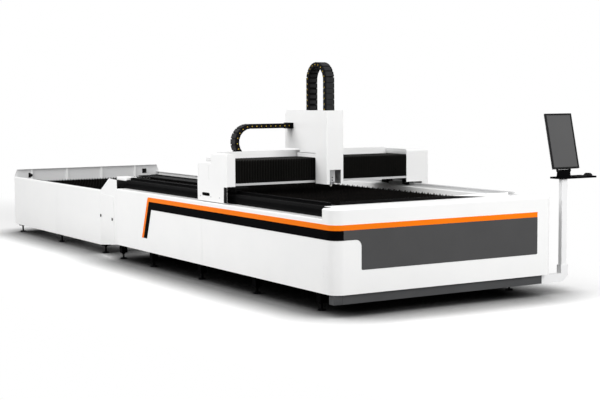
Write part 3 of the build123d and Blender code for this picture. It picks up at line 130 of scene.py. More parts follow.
@dataclass
class Wiring:
    """Node tree of a material or a world, with short ways to add nodes and join them."""

    tree: bpy.types.NodeTree

    def feed(self, node: bpy.types.Node, inputs: dict[str | int, object]) -> None:
        """Link or set the inputs of a node.

        Args:
            node: The node.
            inputs: A socket to link or a value to set, by the input's name or number.
        """
        for name, value in inputs.items():
            if isinstance(value, Socket):
                self.tree.links.new(value, node.inputs[name])
            else:
                node.inputs[name].default_value = value

    def node(self, kind: str, inputs: dict[str | int, object], **settings: object) -> bpy.types.Node:
        """Add a shader node.

        Args:
            kind: Type of the node.
            inputs: What feeds it.
            settings: Its properties.

        Returns:
            The new node.
        """
        made = self.tree.nodes.new(f"ShaderNode{kind}")
        for name, value in settings.items():
            setattr(made, name, value)
        self.feed(made, inputs)
        return made

    def place(self) -> Socket:
        """Object coordinates."""
        return self.node("TexCoord", {}).outputs["Object"]

    def maths(self, operation: str, first: Socket, second: Socket | float) -> Socket:
        """Result of an operation on two values."""
        return self.node("Math", {0: first, 1: second}, operation=operation).outputs["Value"]

    def spread(self, value: Socket, source: Span, target: Span = (0.0, 1.0), curve: str = "LINEAR") -> Socket:
        """Map a value from one range to another.

        Args:
            value: The value.
            source: Range that it comes from.
            target: Range that it goes to.
            curve: How it runs between the ends.

        Returns:
            The mapped value.
        """
        inputs = {"Value": value, "From Min": source[0], "From Max": source[1], "To Min": target[0],
                  "To Max": target[1]}
        return self.node("MapRange", inputs, interpolation_type=curve).outputs["Result"]

    def mix(self, share: Socket, first: Socket | Colour, second: Colour) -> Socket:
        """Mix two colours.

        Args:
            share: Share of the second colour.
            first: The first colour.
            second: The second colour.

        Returns:
            The mixed colour.
        """
        start = first if isinstance(first, Socket) else (*first, 1.0)
        inputs = {"Factor": share, "A": start, "B": (*second, 1.0)}
        return self.node("Mix", inputs, data_type="RGBA").outputs["Result"]

    def mix_shaders(self, share: Socket, first: Socket, second: Socket, output: str) -> None:
        """Mix two shaders into the tree's output.

        Args:
            share: Share of the second shader.
            first: The first shader.
            second: The second shader.
            output: Name of the output node.
        """
        mixed = self.node("MixShader", {"Fac": share, 1: first, 2: second}).outputs["Shader"]
        self.feed(self.tree.nodes[output], {"Surface": mixed})


@dataclass(frozen=True)
class FrontTone:
    """Second tone of a finish, on the side of a plane that its normal points to."""

    normal: Point
    distance: float
    tone: Colour


def tone_above(start: Span, end: Span, tone: Colour) -> FrontTone:
    """Second tone above a line across the machine.

    Args:
        start: Offset and height of the line's near point.
        end: Offset and height of its far point.
        tone: The tone above the line.

    Returns:
        The plane through the line, along the machine, and its tone.
    """
    across, rise = end[0] - start[0], end[1] - start[1]
    length = math.hypot(across, rise)
    normal = (0.0, -rise / length, across / length)
    return FrontTone(normal, normal[1] * (CENTRE_Y + start[0]) + normal[2] * start[1], tone)


@dataclass(frozen=True)
class Finish:
    """A finish: its two tones, gloss and surface texture."""

    name: str
    slot: str
    tone: Colour
    shade: Colour
    roughness: float
    grain: Grain
    metallic: float = 0.0
    relief: float = 0.05
    patch_scale: float = 1.6
    coat: float = 0.0
    dust: float = 0.0
    specular: float = 0.5
    fronts: tuple[FrontTone, ...] = ()

    def material(self) -> bpy.types.Material:
        """Build the node material, or give the one already built.

        Returns:
            The material of this finish.
        """
        label = f"{self.name}_finish"
        known = bpy.data.materials.get(label)
        if known:
            return known
        made = bpy.data.materials.new(label)
        made.use_nodes = True
        made.diffuse_color = (*self.tone, 1.0)
        wiring = Wiring(made.node_tree)
        place = wiring.place()
        fine = self._fine(wiring, place)
        gloss = (max(GLOSS_LOWEST, self.roughness - GLOSS_SPREAD), min(1.0, self.roughness + GLOSS_SPREAD))
        bump = wiring.node("Bump", {"Strength": self.relief, "Distance": RELIEF_DEPTH, "Height": fine})
        wiring.feed(made.node_tree.nodes["Principled BSDF"], {
            "Base Color": self._colour(wiring, place),
            "Metallic": self.metallic,
            "Roughness": wiring.spread(fine, (0.0, 1.0), gloss),
            "Specular IOR Level": self.specular,
            "Coat Weight": self.coat,
            "Coat Roughness": COAT_ROUGHNESS,
            "Normal": bump.outputs["Normal"],
        })
        return made

    def _colour(self, wiring: Wiring, place: Socket) -> Socket:
        """Two tones in soft patches, workshop dust low down and the tones in front of planes, which on some
        finishes are painted shade and painted light.

        Args:
            wiring: The material's node tree.
            place: Object coordinates.

        Returns:
            The colour.
        """
        patches = wiring.node("TexNoise", {
            "Vector": place, "Scale": self.patch_scale, "Detail": PATCH_DETAIL, "Roughness": PATCH_ROUGHNESS,
        }).outputs["Fac"]
        colour = wiring.mix(wiring.spread(patches, PATCH_SPAN), self.tone, self.shade)
        if self.dust > 0.0:
            height = wiring.node("SeparateXYZ", {"Vector": place}).outputs["Z"]
            low = wiring.spread(height, DUST_HEIGHTS, (self.dust, 0.0))
            colour = wiring.mix(wiring.maths("MULTIPLY", low, patches), colour, DUST_TONE)
        for front in self.fronts:
            along = wiring.node("VectorMath", {}, operation="DOT_PRODUCT")
            wiring.feed(along, {0: place, 1: front.normal})
            past = wiring.maths("GREATER_THAN", along.outputs["Value"], front.distance)
            colour = wiring.mix(past, colour, front.tone)
        return colour

    def _fine(self, wiring: Wiring, place: Socket) -> Socket:
        """Fine surface texture that drives gloss and relief.

        Args:
            wiring: The material's node tree.
            place: Object coordinates.

        Returns:
            A value socket of the texture.
        """
        spot = wiring.node("Mapping", {"Vector": place, "Scale": self.grain.value}).outputs["Vector"]
        if self.grain is not Grain.WOVEN:
            inputs = {"Vector": spot, "Scale": 1.0, "Detail": FINE_DETAIL}
            return wiring.node("TexNoise", inputs).outputs["Fac"]
        inputs = {"Vector": spot, "Scale": WEAVE_SCALE}
        weft = wiring.node("TexWave", inputs, bands_direction="DIAGONAL")
        weave = wiring.node("TexWave", inputs | {"Distortion": WEAVE_DISTORTION}, bands_direction="Y")
        return wiring.maths("MULTIPLY", weave.outputs["Fac"], weft.outputs["Fac"])

    def coat_on(self, piece: Piece) -> None:
        """Give a piece this finish."""
        piece.data.materials.clear()
        piece.data.materials.append(self.material())


PALE: Colour = (0.885, 0.885, 0.880)
PALE_SHADE: Colour = (0.860, 0.862, 0.860)
BEZEL_TONE: Colour = (0.0075, 0.0075, 0.0078)
WHITE = Finish("white_paint", "white_paint", PALE, PALE_SHADE, 0.36, Grain.PEEL, coat=0.10, dust=0.12)
HOOD = Finish("hood_paint", "white_paint", PALE, PALE_SHADE, 0.36, Grain.PEEL, dust=0.12, specular=0.03,
              fronts=(FrontTone(UP, 0.958, (0.0040, 0.0040, 0.0041)),
                      tone_above((0.265, 0.987), (0.745, 0.957), PALE)))
# White rear wall whose recessed inner face is painted grey as shade, rim and back left white: painted shade.
REAR_WALL_SHADED = Finish("rear_wall_painted_shade", "white_paint", PALE, PALE_SHADE, 0.36, Grain.PEEL, coat=0.10,
                   fronts=(FrontTone(REAR, 4.3355, (0.700, 0.702, 0.705)), FrontTone(REAR, 4.3390, PALE)))
# Rail guards are white; the near half is painted near black as shade, the far half keeps the white.
GUARD = Finish("guard_paint", "white_paint", (0.0060, 0.0060, 0.0062), (0.0050, 0.0050, 0.0052), 0.50,
               Grain.PEEL, specular=0.03, fronts=(FrontTone(FAR, CENTRE_Y, PALE),))
# Light grey, darker than the white paint: partly the stand's own grey, partly painted shade on its front
# face.
POST_GREY = Finish("post_grey", "white_paint", (0.820, 0.822, 0.825), (0.790, 0.792, 0.795), 0.40, Grain.PEEL)
# White-painted cross beam given a mid grey tone that stands for the shade on its underside: painted shade.
SHADED_BEAM = Finish("beam_painted_shade", "white_paint", (0.560, 0.562, 0.565), (0.530, 0.532, 0.535), 0.40, Grain.PEEL)
GREY = Finish("grey_paint", "grey_paint", (0.064, 0.065, 0.067), (0.055, 0.056, 0.058), 0.46, Grain.PEEL,
              relief=0.07, specular=0.12)
SIGN = Finish("sign_grey", "grey_paint", (0.068, 0.068, 0.069), (0.062, 0.062, 0.063), 0.42, Grain.PEEL,
              specular=0.08)
DARK = Finish("dark_paint", "dark_paint", (0.0090, 0.0090, 0.0092), (0.0070, 0.0070, 0.0072), 0.55,
              Grain.PEEL, relief=0.08, specular=0.015)
ORANGE = Finish("orange_paint", "orange_paint", (0.93, 0.200, 0.005), (0.90, 0.186, 0.004), 0.42, Grain.PEEL,
                specular=0.06)
BLACK = Finish("black_paint", "black_paint", (0.0030, 0.0030, 0.0033), (0.0022, 0.0022, 0.0025), 0.50,
               Grain.PEEL, specular=0.004)
BRIGHT = Finish("bright_steel", "bright_steel", (0.60, 0.61, 0.63), (0.47, 0.48, 0.50), 0.30, Grain.BRUSHED,
                metallic=1.0, relief=0.10, patch_scale=4.0)
# Rail seats as lit and shaded copies of one paint: painted shade on the near half, painted light on the far
# half.
SEAT = Finish("seat_paint", "dark_paint", (0.0085, 0.0085, 0.0087), (0.0065, 0.0065, 0.0067), 0.55,
              Grain.PEEL, relief=0.08, specular=0.015,
              fronts=(FrontTone(FAR, CENTRE_Y, (0.640, 0.642, 0.645)),))
# Oiled steel as lit and shaded copies by side: painted shade near black on the near half, painted light grey
# on the far half.
OILED_SIDE_SHADED = Finish("oiled_steel_side_shaded", "dark_paint", (0.0036, 0.0036, 0.0038), (0.0026, 0.0026, 0.0028), 0.55,
               Grain.BRUSHED, relief=0.10, patch_scale=4.0, specular=0.012,
               fronts=(FrontTone(FAR, CENTRE_Y, (0.560, 0.562, 0.565)),))
# Near black: burnt, scaled steel, darkened further as painted shade in the pit.
SLAT = Finish("slat_steel", "dark_steel", (0.0034, 0.0033, 0.0032), (0.0075, 0.0066, 0.0060), 0.66,
              Grain.SCALE, relief=0.30, patch_scale=7.0, specular=0.012)
ANODISED = Finish("head_metal", "head_metal", (0.30, 0.305, 0.315), (0.25, 0.255, 0.265), 0.40, Grain.CAST,
                  metallic=0.7, relief=0.06, patch_scale=8.0)
NOZZLE = Finish("nozzle_metal", "nozzle_metal", (0.62, 0.60, 0.56), (0.50, 0.48, 0.45), 0.30, Grain.BRUSHED,
                metallic=1.0, relief=0.08, patch_scale=20.0)
CLOTH = Finish("bellows_cloth", "bellows_cloth", (0.0100, 0.0097, 0.0090), (0.0135, 0.0130, 0.0120), 0.65,
               Grain.WOVEN, relief=0.25, patch_scale=3.0, specular=0.03)
CHAIN = Finish("chain_plastic", "chain_plastic", (0.022, 0.022, 0.0225), (0.028, 0.028, 0.0285), 0.58,
               Grain.MOULDED, relief=0.12, patch_scale=9.0, specular=0.05)
CHAIN_SIDE = Finish("chain_side", "chain_plastic", (0.0050, 0.0050, 0.0054), (0.0075, 0.0075, 0.0080), 0.55,
                    Grain.MOULDED, relief=0.12, patch_scale=9.0, specular=0.03)
PLASTIC = Finish("black_plastic", "black_plastic", (0.0085, 0.0085, 0.0088), (0.012, 0.012, 0.0124), 0.50,
                 Grain.MOULDED, relief=0.12, patch_scale=9.0, specular=0.06)
RUBBER = Finish("black_rubber", "black_plastic", (0.0055, 0.0055, 0.006), (0.0085, 0.0085, 0.0088), 0.75,
                Grain.MOULDED, relief=0.20, patch_scale=9.0, specular=0.03)
MONITOR = Finish("monitor_shell", "black_plastic", (0.800, 0.802, 0.805), (0.775, 0.778, 0.780), 0.42,
                 Grain.MOULDED, relief=0.08, patch_scale=9.0, specular=0.20,
                 fronts=(FrontTone(SCREEN_NORMAL, 4.336, BEZEL_TONE), FrontTone(DOWN, -1.204, BEZEL_TONE)))
SCREEN = Finish("screen_glass", "screen", (0.088, 0.088, 0.089), (0.084, 0.084, 0.085), 0.20, Grain.GLASSY,
                relief=0.01, patch_scale=2.5, specular=0.10)
HEAD_COVER = Finish("head_cover", "head_metal", (0.30, 0.303, 0.306), (0.27, 0.273, 0.276), 0.42,
                    Grain.BRUSHED, metallic=0.3, relief=0.06, patch_scale=8.0)
GOLD = Finish("pin_yellow", "chain_plastic", (0.50, 0.34, 0.03), (0.42, 0.28, 0.02), 0.45, Grain.MOULDED,
              relief=0.08, specular=0.2)

NODE_FINISHES: dict[Finish, tuple[str, ...]] = {
    WHITE: (
        "side_panel_near", "side_panel_far", "transition_panel_near", "transition_panel_far", "access_door",
        "exchange_panels", "chain_trough", "end_cover_near", "end_cover_far", "head_housing",
        "carriage_casting",
    ),
    HOOD: ("front_hood",),
    REAR_WALL_SHADED: ("exchange_rear_wall",),
    GUARD: ("rail_guards",),
    SHADED_BEAM: ("cross_beam",),
    POST_GREY: ("stand_post", "stand_arm"),
    GREY: ("bed_cross_beams",),
    SIGN: ("sign_panel",),
    SEAT: ("rail_seats",),
    DARK: ("exchange_gear_motor", "gantry_drives", "pallet_tracks", "gantry_trucks"),
    ORANGE: ("stripe_orange",),
    # Leg blocks, levelling feet, bed girders and exchange beams: black partly as their own colour, partly as
    # painted shade under the machine and inside the exchange table.
    BLACK: (
        "stripe_black", "keyboard_tray", "monitor_bracket", "leg_blocks", "levelling_feet", "bed_girders",
        "exchange_beams",
    ),
    BRIGHT: (
        "cross_rails", "drive_shaft", "idler_shaft", "drive_pinion_near", "drive_pinion_far",
        "bed_pallet_rollers_1", "bed_pallet_rollers_2", "bed_pallet_rollers_3", "exchange_pallet_rollers",
    ),
    OILED_SIDE_SHADED: ("rails_and_racks",),
    SLAT: (
        "bed_pallet_frame", "bed_pallet_slats", "exchange_pallet_frame", "exchange_pallet_slats",
        "drive_chains", "scrap_floor", "shaft_bearings",
    ),
    ANODISED: ("cutting_head",),
    NOZZLE: ("nozzle",),
    CLOTH: ("bellows_near", "bellows_far"),
    CHAIN: ("cross_chain", "head_chain"),
    PLASTIC: ("door_latch_front", "door_latch_rear", "keyboard_mouse"),
    MONITOR: ("monitor_shell",),
    SCREEN: ("monitor_screen",),
}


def deselect() -> None:
    """Leave object mode clean, with nothing selected."""
    bpy.ops.object.select_all(action="DESELECT")


def activate(piece: Piece) -> None:
    """Make a piece the only selected and active one."""
    deselect()
    piece.select_set(True)
    bpy.context.view_layer.objects.active = piece


@contextmanager
def editing(piece: Piece, mode: str = "FACE") -> Iterator[None]:
    """Edit mode on one piece.

    Args:
        piece: The piece to edit.
        mode: Select mode, VERT, EDGE or FACE.

    Yields:
        Nothing: edit mode lasts as long as the block.
    """
    activate(piece)
    bpy.ops.object.mode_set(mode="EDIT")
    bpy.ops.mesh.select_mode(type=mode)
    yield
    bpy.ops.object.mode_set(mode="OBJECT")


def pick_faces(piece: Piece, *normals: Point) -> None:
    """Select the faces of a piece that look along one of some normals, in object mode.

    Args:
        piece: The piece whose faces are picked.
        normals: The normals.
    """
    for part in (*piece.data.vertices, *piece.data.edges):
        part.select = False
    for face in piece.data.polygons:
        face.select = any(face.normal.dot(Vector(normal)) > FACE_COSINE for normal in normals)


def name_new(name: str) -> Piece:
    """Name the primitive that was just added and apply its place, turn and scale.

    Args:
        name: Name of the piece.

    Returns:
        The new piece, at the origin.
    """
    piece = bpy.context.object
    piece.name = name
    bpy.ops.object.transform_apply(location=True, rotation=True, scale=True)
    return piece


def block(name: str, low: Sequence[float], high: Sequence[float]) -> Piece:
    """Start a piece as a cuboid between two corners.

    Args:
        name: Name of the piece.
        low: Lowest corner.
        high: Highest corner.

    Returns:
        The new piece, at the origin.
    """
    deselect()
    low_v, high_v = Vector(low), Vector(high)
    bpy.ops.mesh.primitive_cube_add(size=1.0, location=(low_v + high_v) / 2, scale=high_v - low_v)
    return name_new(name)


def rod(name: str, centre: Sequence[float], radius: float, length: float, axis: Point,
        sides: int = 20) -> Piece:
    """Start a piece as a round bar.

    Args:
        name: Name of the piece.
        centre: Middle of the bar.
        radius: Radius of the bar.
        length: Length along the axis.
        axis: Direction of the bar.
        sides: Number of flat sides.

    Returns:
        The new piece, at the origin.
    """
    deselect()
    turn = Vector(UP).rotation_difference(Vector(axis)).to_euler()
    bpy.ops.mesh.primitive_cylinder_add(vertices=sides, radius=radius, depth=length, location=Vector(centre),
                                        rotation=turn)
    return name_new(name)


@dataclass(frozen=True)
class Room:
    """Cuboid that a piece fills, by its depths, offsets and heights."""

    depths: Span
    offsets: Span
    heights: Span

    def block(self, name: str) -> Piece:
        """Start a piece that fills the room."""
        return block(name, at(self.depths[1], self.offsets[0], self.heights[0]),
                     at(self.depths[0], self.offsets[1], self.heights[1]))


def sink(piece: Piece, normal: Point, margin: float, depth: float = 0.0) -> Piece:
    """Inset the face on one side of a piece and move its middle field.

    Args:
        piece: The piece.
        normal: Where the face looks.
        margin: Width of the rim that stays.
        depth: How far the field sinks, or rises where it is negative.

    Returns:
        The same piece.
    """
    pick_faces(piece, normal)
    with editing(piece):
        bpy.ops.mesh.inset(thickness=margin, depth=-depth)
    return piece


def taper(piece: Piece, normal: Point, shares: Point, centre: Sequence[float] | None = None) -> Piece:
    """Scale the face on one side of a piece.

    Args:
        piece: The piece.
        normal: Where the face looks.
        shares: Scale along each axis.
        centre: Point that stays, or None for the middle of the face.

    Returns:
        The same piece.
    """
    pick_faces(piece, normal)
    pivot = {} if centre is None else {"center_override": centre}
    with editing(piece):
        bpy.ops.transform.resize(value=shares, **pivot)
    return piece


def shape(piece: Piece, kind: str, **settings: object) -> Piece:
    """Give a piece a modifier and apply it.

    Args:
        piece: The piece.
        kind: Type of the modifier.
        settings: Its properties.

    Returns:
        The same piece.
    """
    activate(piece)
    modifier = piece.modifiers.new(kind.lower(), kind)
    for name, value in settings.items():
        setattr(modifier, name, value)
    bpy.ops.object.modifier_apply(modifier=modifier.name)
    return piece


def soften(piece: Piece, width: float, segments: int = 2, angle: float = 40.0) -> Piece:
    """Round the sharp edges of a piece with an applied bevel.

    Args:
        piece: The piece.
        width: Width of the rounding.
        segments: Number of steps of the rounding.
        angle: Edges sharper than this are rounded, in degrees.

    Returns:
        The same piece.
    """
    shape(piece, "BEVEL", width=width, segments=segments, limit_method="ANGLE",
          angle_limit=math.radians(angle))
    bpy.ops.object.shade_smooth_by_angle(angle=math.radians(SMOOTH_ANGLE))
    return piece


def row(piece: Piece, count: int, step: Sequence[float]) -> Piece:
    """Repeat a piece in a straight row with an applied array.

    Args:
        piece: The piece to repeat.
        count: Number of copies.
        step: Distance from one copy to the next.

    Returns:
        The same piece, now the whole row.
    """
    return shape(piece, "ARRAY", use_relative_offset=False, use_constant_offset=True,
                 constant_offset_displace=Vector(step), count=count)


def join(name: str, pieces: Sequence[Piece]) -> Piece:
    """Join pieces into one.

    Args:
        name: Name of the joined piece.
        pieces: The pieces, all in object mode.

    Returns:
        The joined piece.
    """
    deselect()
    for piece in pieces:
        piece.select_set(True)
    bpy.context.view_layer.objects.active = pieces[0]
    if len(pieces) > 1:
        bpy.ops.object.join()
    whole = bpy.context.view_layer.objects.active
    whole.name = name
    return whole


def copies(name: str, model: Piece, places: Sequence[Matrix]) -> Piece:
    """Put copies of a model at some places and join them.

    Args:
        name: Name of the joined piece.
        model: The piece that is copied; it is removed afterwards.
        places: One matrix for each copy.

    Returns:
        The joined piece, at the origin.
    """
    made = []
    for place in places:
        copy = model.copy()
        copy.data = model.data.copy()
        bpy.context.scene.collection.objects.link(copy)
        copy.matrix_world = place
        made.append(copy)
    bpy.data.objects.remove(model)
    whole = join(name, made)
    activate(whole)
    bpy.ops.object.transform_apply(location=True, rotation=True, scale=True)
    return whole


def settle(piece: Piece, finish: Finish, body: Body) -> None:
    """Finish a piece, let it ride on a body and report it.

    Args:
        piece: The piece.
        finish: Its finish.
        body: The body that carries it.
    """
    finish.coat_on(piece)
    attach(piece, body.value)
    LOG.info("%s: %d faces, rides on %s", piece.name, len(piece.data.polygons), body.value)


def settle_between(piece: Piece, finish: Finish, start: Sequence[float], end: Sequence[float]) -> None:
    """Finish a piece, bake its transform and report it.

    Args:
        piece: The piece.
        finish: Its finish.
        start: Point that stays with the gantry; not used.
        end: Point that goes with the carriage; not used.
    """
    finish.coat_on(piece)
    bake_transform(piece)
    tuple(start)
    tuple(end)
    LOG.info("%s: %d faces, between gantry and carriage", piece.name, len(piece.data.polygons))


def facing(point: Sequence[float], normal: Point) -> Matrix:
    """Matrix that puts a model's origin on a point, with its +Z along a normal.

    Args:
        point: Where the model goes.
        normal: Where its top faces.

    Returns:
        The matrix.
    """
    turn = Vector(UP).rotation_difference(Vector(normal)).to_matrix().to_4x4()
    return Matrix.Translation(Vector(point)) @ turn


@dataclass(frozen=True)
class Screw:
    """Button-head screw with a socket, its rim, socket wall and socket depth as shares."""

    radius: float
    height: float
    rim: float = 0.22
    wall: float = 0.26
    socket: float = 0.55
    sides: int = 12

    def model(self) -> Piece:
        """Model the screw, standing on the origin.

        Returns:
            The screw.
        """
        screw = rod("screw", (0.0, 0.0, self.height / 2), self.radius, self.height, UP, self.sides)
        floor = (0.0, 0.0, -self.height * self.socket)
        pick_faces(screw, UP)
        with editing(screw):
            for share in (self.rim, self.wall):
                bpy.ops.mesh.inset(thickness=self.radius * share, depth=0.0)
            bpy.ops.mesh.extrude_region_move(TRANSFORM_OT_translate={"value": floor})
        return screw


@dataclass
class Dressing:
    """Finishes of all the nodes that come from the CAD model."""

    finishes: dict[Finish, tuple[str, ...]] = field(default_factory=lambda: NODE_FINISHES)

    def build(self) -> None:
        """Give every CAD node its finish."""
        for finish, names in self.finishes.items():
            for name in names:
                finish.coat_on(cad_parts[name])
                LOG.info("%s: %s", name, finish.name)
        missing = set(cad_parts) - {name for names in self.finishes.values() for name in names}
        if missing:
            raise ValueError(f"no finish for {sorted(missing)}")


@dataclass
class Bellows:
    """Pleated cover over the gantry beam, on one side of the carriage."""

    node: str
    carriage_end_high: bool
    front_depth: float = 1.998
    back_depth: float = 2.382
    bottom: float = 1.068
    top: float = 1.300
    corner: float = 0.016
    pitch: float = 0.030
    front_fold: float = 0.026
    top_fold: float = 0.009
    cloth: float = 0.0012
    flat_steps: int = 6
    corner_steps: int = 4
    corner_lean: float = 0.4
    fold_steps: int = 4
    fold_curve: float = 0.8
    smooth_angle: float = 25.0

    def section(self) -> list[tuple[float, float, float, float]]:
        """Outline of the cover as depth, height and the direction of its folds.

        Returns:
            Points from the front bottom edge over the corner to the back edge.
        """
        points = []
        for step in range(self.flat_steps + 1):
            height = self.bottom + (self.top - self.corner - self.bottom) * step / self.flat_steps
            points.append((self.front_depth, height, self.front_fold, 0.0))
        for step in range(1, self.corner_steps + 1):
            share = step / self.corner_steps
            angle = math.pi / 2 * share
            points.append((
                self.front_depth + self.corner * (1 - math.cos(angle)),
                self.top - self.corner + self.corner * math.sin(angle),
                self.front_fold * (1 - share) + self.top_fold * share * self.corner_lean,
                self.top_fold * share,
            ))
        start = self.front_depth + self.corner
        for step in range(1, self.flat_steps + 1):
            depth = start + (self.back_depth - start) * step / self.flat_steps
            points.append((depth, self.top, 0.0, self.top_fold))
        return points

    def build(self) -> None:
        """Pleat a grid over the section, thicken it and finish it."""
        low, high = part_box(self.node)
        section = self.section()
        last = len(section) - 1
        folds = round((high.y - low.y) / self.pitch)
        deselect()
        bpy.ops.mesh.primitive_grid_add(x_subdivisions=last, y_subdivisions=folds * self.fold_steps, size=2.0)
        cover = bpy.context.object
        cover.name = f"pleated_{self.node}"
        for vertex in cover.data.vertices:
            depth, height, inward, downward = section[round((vertex.co.x + 1.0) / 2.0 * last)]
            along = (vertex.co.y + 1.0) / 2.0
            crest = abs(2.0 * ((along * folds) % 1.0) - 1.0)
            fold = 1.0 - crest ** self.fold_curve if 0.0 < along < 1.0 else 0.0
            point = at(depth + inward * fold + self.cloth, 0.0, height - downward * fold - self.cloth)
            vertex.co = (point.x, low.y + along * (high.y - low.y), point.z)
        shape(cover, "SOLIDIFY", thickness=self.cloth, offset=0.0)
        with editing(cover):
            bpy.ops.mesh.select_all(action="SELECT")
            bpy.ops.mesh.normals_make_consistent(inside=False)
        bpy.ops.object.shade_smooth_by_angle(angle=math.radians(self.smooth_angle))
        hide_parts(self.node)
        middle = (low + high) / 2
        fixed, moving = (low.y, high.y) if self.carriage_end_high else (high.y, low.y)
        settle_between(cover, CLOTH, (middle.x, fixed, middle.z), (middle.x, moving, middle.z))


@dataclass
class DragChain:
    """Energy chain of moulded links along two straight runs and a half turn."""

    node: str
    radius: float = 0.164
    pitch: float = 0.055
    width: float = 0.112
    height: float = 0.048
    wall: float = 0.016
    plate_rim: float = 0.007
    plate_sink: float = 0.0015
    plate_round: float = 0.0035
    core: float = 0.012
    core_seat: float = 0.5
    core_reach: float = 1.1
    core_rim: float = 0.4
    lid_half: float = 0.0268
    bar_half: float = 0.017
    lid_seat: float = 0.7
    lid_bottom: float = 0.0055
    lid_top: float = 0.001
    lid_rim: float = 0.005
    lid_rise: float = 0.001
    lid_round: float = 0.0012
    pin_radius: float = 0.0062
    pin_length: float = 0.004
    pin_place: float = 0.32
    pin_seat: float = 0.001
    pin_round: float = 0.001
    pin_sides: int = 14

    def plates(self) -> Piece:
        """Model the two side plates of one link along +Y, centred on the origin, and its core.

        Returns:
            The plates, each with a sunk outer field, and the core.
        """
        half, tall, long = self.width / 2, self.height / 2, self.pitch / 2
        parts = []
        for side, normal in ((-1, REAR), (1, FRONT)):
            inner, outer = sorted((side * half, side * (half - self.wall)))
            plate = block("plate", (inner, -long, -tall), (outer, long, tall))
            parts.append(soften(sink(plate, normal, self.plate_rim, self.plate_sink), self.plate_round))
        corner = Vector((half - self.wall * self.core_seat, long * self.core_reach, self.core))
        core = block("core", -corner, corner)
        for normal in (NEAR, FAR):
            sink(core, normal, self.core * self.core_rim)
        return join("plates", [*parts, core])

    def lids(self) -> Piece:
        """Model the snap-on lid of a link's outer side and the bar of its inner side.

        Returns:
            Lid and bar, the lid with a raised middle.
        """
        inner, tall = self.width / 2 - self.wall * self.lid_seat, self.height / 2
        lid = block("lid", (-inner, -self.lid_half, tall - self.lid_bottom),
                    (inner, self.lid_half, tall - self.lid_top))
        sink(lid, UP, self.lid_rim, -self.lid_rise)
        bar = block("bar", (-inner, -self.bar_half, self.lid_top - tall),
                    (inner, self.bar_half, self.lid_bottom - tall))
        return join("lids", [soften(part, self.lid_round, segments=1) for part in (lid, bar)])

    def pins(self) -> Piece:
        """Model the two pivot pins of a link.

        Returns:
            The pins, one on each side plate.
        """
        pair = []
        for side in (-1, 1):
            centre = (side * (self.width / 2 - self.pin_seat), -self.pitch * self.pin_place, 0.0)
            pin = rod("pin", centre, self.pin_radius, self.pin_length, FRONT, self.pin_sides)
            pair.append(soften(pin, self.pin_round, segments=1))
        return join("pin", pair)

    def parts(self) -> tuple[tuple[str, Piece, Finish], ...]:
        """Model the parts of one link.

        Returns:
            Name, model and finish of each part.
        """
        return (
            ("plates", self.plates(), CHAIN_SIDE),
            ("lids", self.lids(), CHAIN),
            ("pins", self.pins(), GOLD),
        )

    def path(self, low_run: float, high_run: float) -> list[Point]:
        """Places of the links as distance along, rise and turn in radians.

        Args:
            low_run: Length of the fixed run.
            high_run: Length of the moving run.

        Returns:
            One entry for each link.
        """
        half_turn = math.pi * self.radius
        total = low_run + half_turn + high_run
        count = int(total // self.pitch)
        pitch = total / count
        spots = []
        for number in range(count):
            along = (number + 0.5) * pitch
            if along < low_run:
                spots.append((low_run - along, 0.0, math.pi))
            elif along < low_run + half_turn:
                angle = (along - low_run) / self.radius
                rise = self.radius * (1 - math.cos(angle))
                spots.append((-self.radius * math.sin(angle), rise, math.pi - angle))
            else:
                spots.append((along - low_run - half_turn, 2 * self.radius, 0.0))
        return spots


@dataclass
class CrossChain(DragChain):
    """Chain along the gantry beam, from the trough to the head housing."""

    node: str = "cross_chain"
    depth: float = 2.500
    low: float = 1.293
    centre: float = -0.711
    fixed: float = -0.100
    moving: float = -0.2013
    far_aside: float = 100.0

    def spot(self, offset: float) -> Vector:
        """Point of the low run at an offset."""
        return at(self.depth, offset, self.low)

    def build(self) -> None:
        """Lay the chain along the beam in a low run, a half turn and a high run."""
        runs: dict[str, list[Matrix]] = {"low": [], "turn": [], "high": []}
        for along, rise, turn in self.path(self.fixed - self.centre, self.moving - self.centre):
            place = Matrix.Translation(self.spot(self.centre + along) + Vector((0.0, 0.0, rise)))
            run = "low" if turn == math.pi else "high" if turn == 0.0 else "turn"
            runs[run].append(place @ Matrix.Rotation(turn, 4, "X"))
        middle, aside = self.spot(self.centre), Vector((self.far_aside, 0.0, 0.0))
        ends = {
            "low": (self.spot(self.fixed), self.spot(2 * self.centre - self.fixed)),
            "turn": (middle - aside, middle + aside),
            "high": (self.spot(2 * self.centre - self.moving), self.spot(self.moving)),
        }
        for run, places in runs.items():
            for name, model, finish in self.parts():
                piece = copies(f"{self.node}_{run}_{name}", model, places)
                if (run, name) == ("low", "plates"):
                    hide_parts(self.node)
                settle_between(piece, finish, *ends[run])


@dataclass
class HeadChain(DragChain):
    """Chain that arches over the head housing."""

    node: str = "head_chain"
    depth: float = 2.061
    offset: float = -0.100
    top: float = 2.282
    seat: float = 1.785

    def build(self) -> None:
        """Stand the arch on the housing."""
        bend = self.top - self.radius - self.height / 2
        upright = Matrix.Rotation(math.pi / 2, 4, "Z")
        places = []
        for along, rise, turn in self.path(bend - self.seat, bend - self.seat):
            place = Matrix.Translation(at(self.depth - self.radius + rise, self.offset, bend - along))
            places.append(place @ Matrix.Rotation(turn - math.pi / 2, 4, "Y") @ upright)
        for name, model, finish in self.parts():
            piece = copies(f"{self.node}_{name}", model, places)
            if name == "plates":
                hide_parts(self.node)
            settle(piece, finish, Body.CARRIAGE)


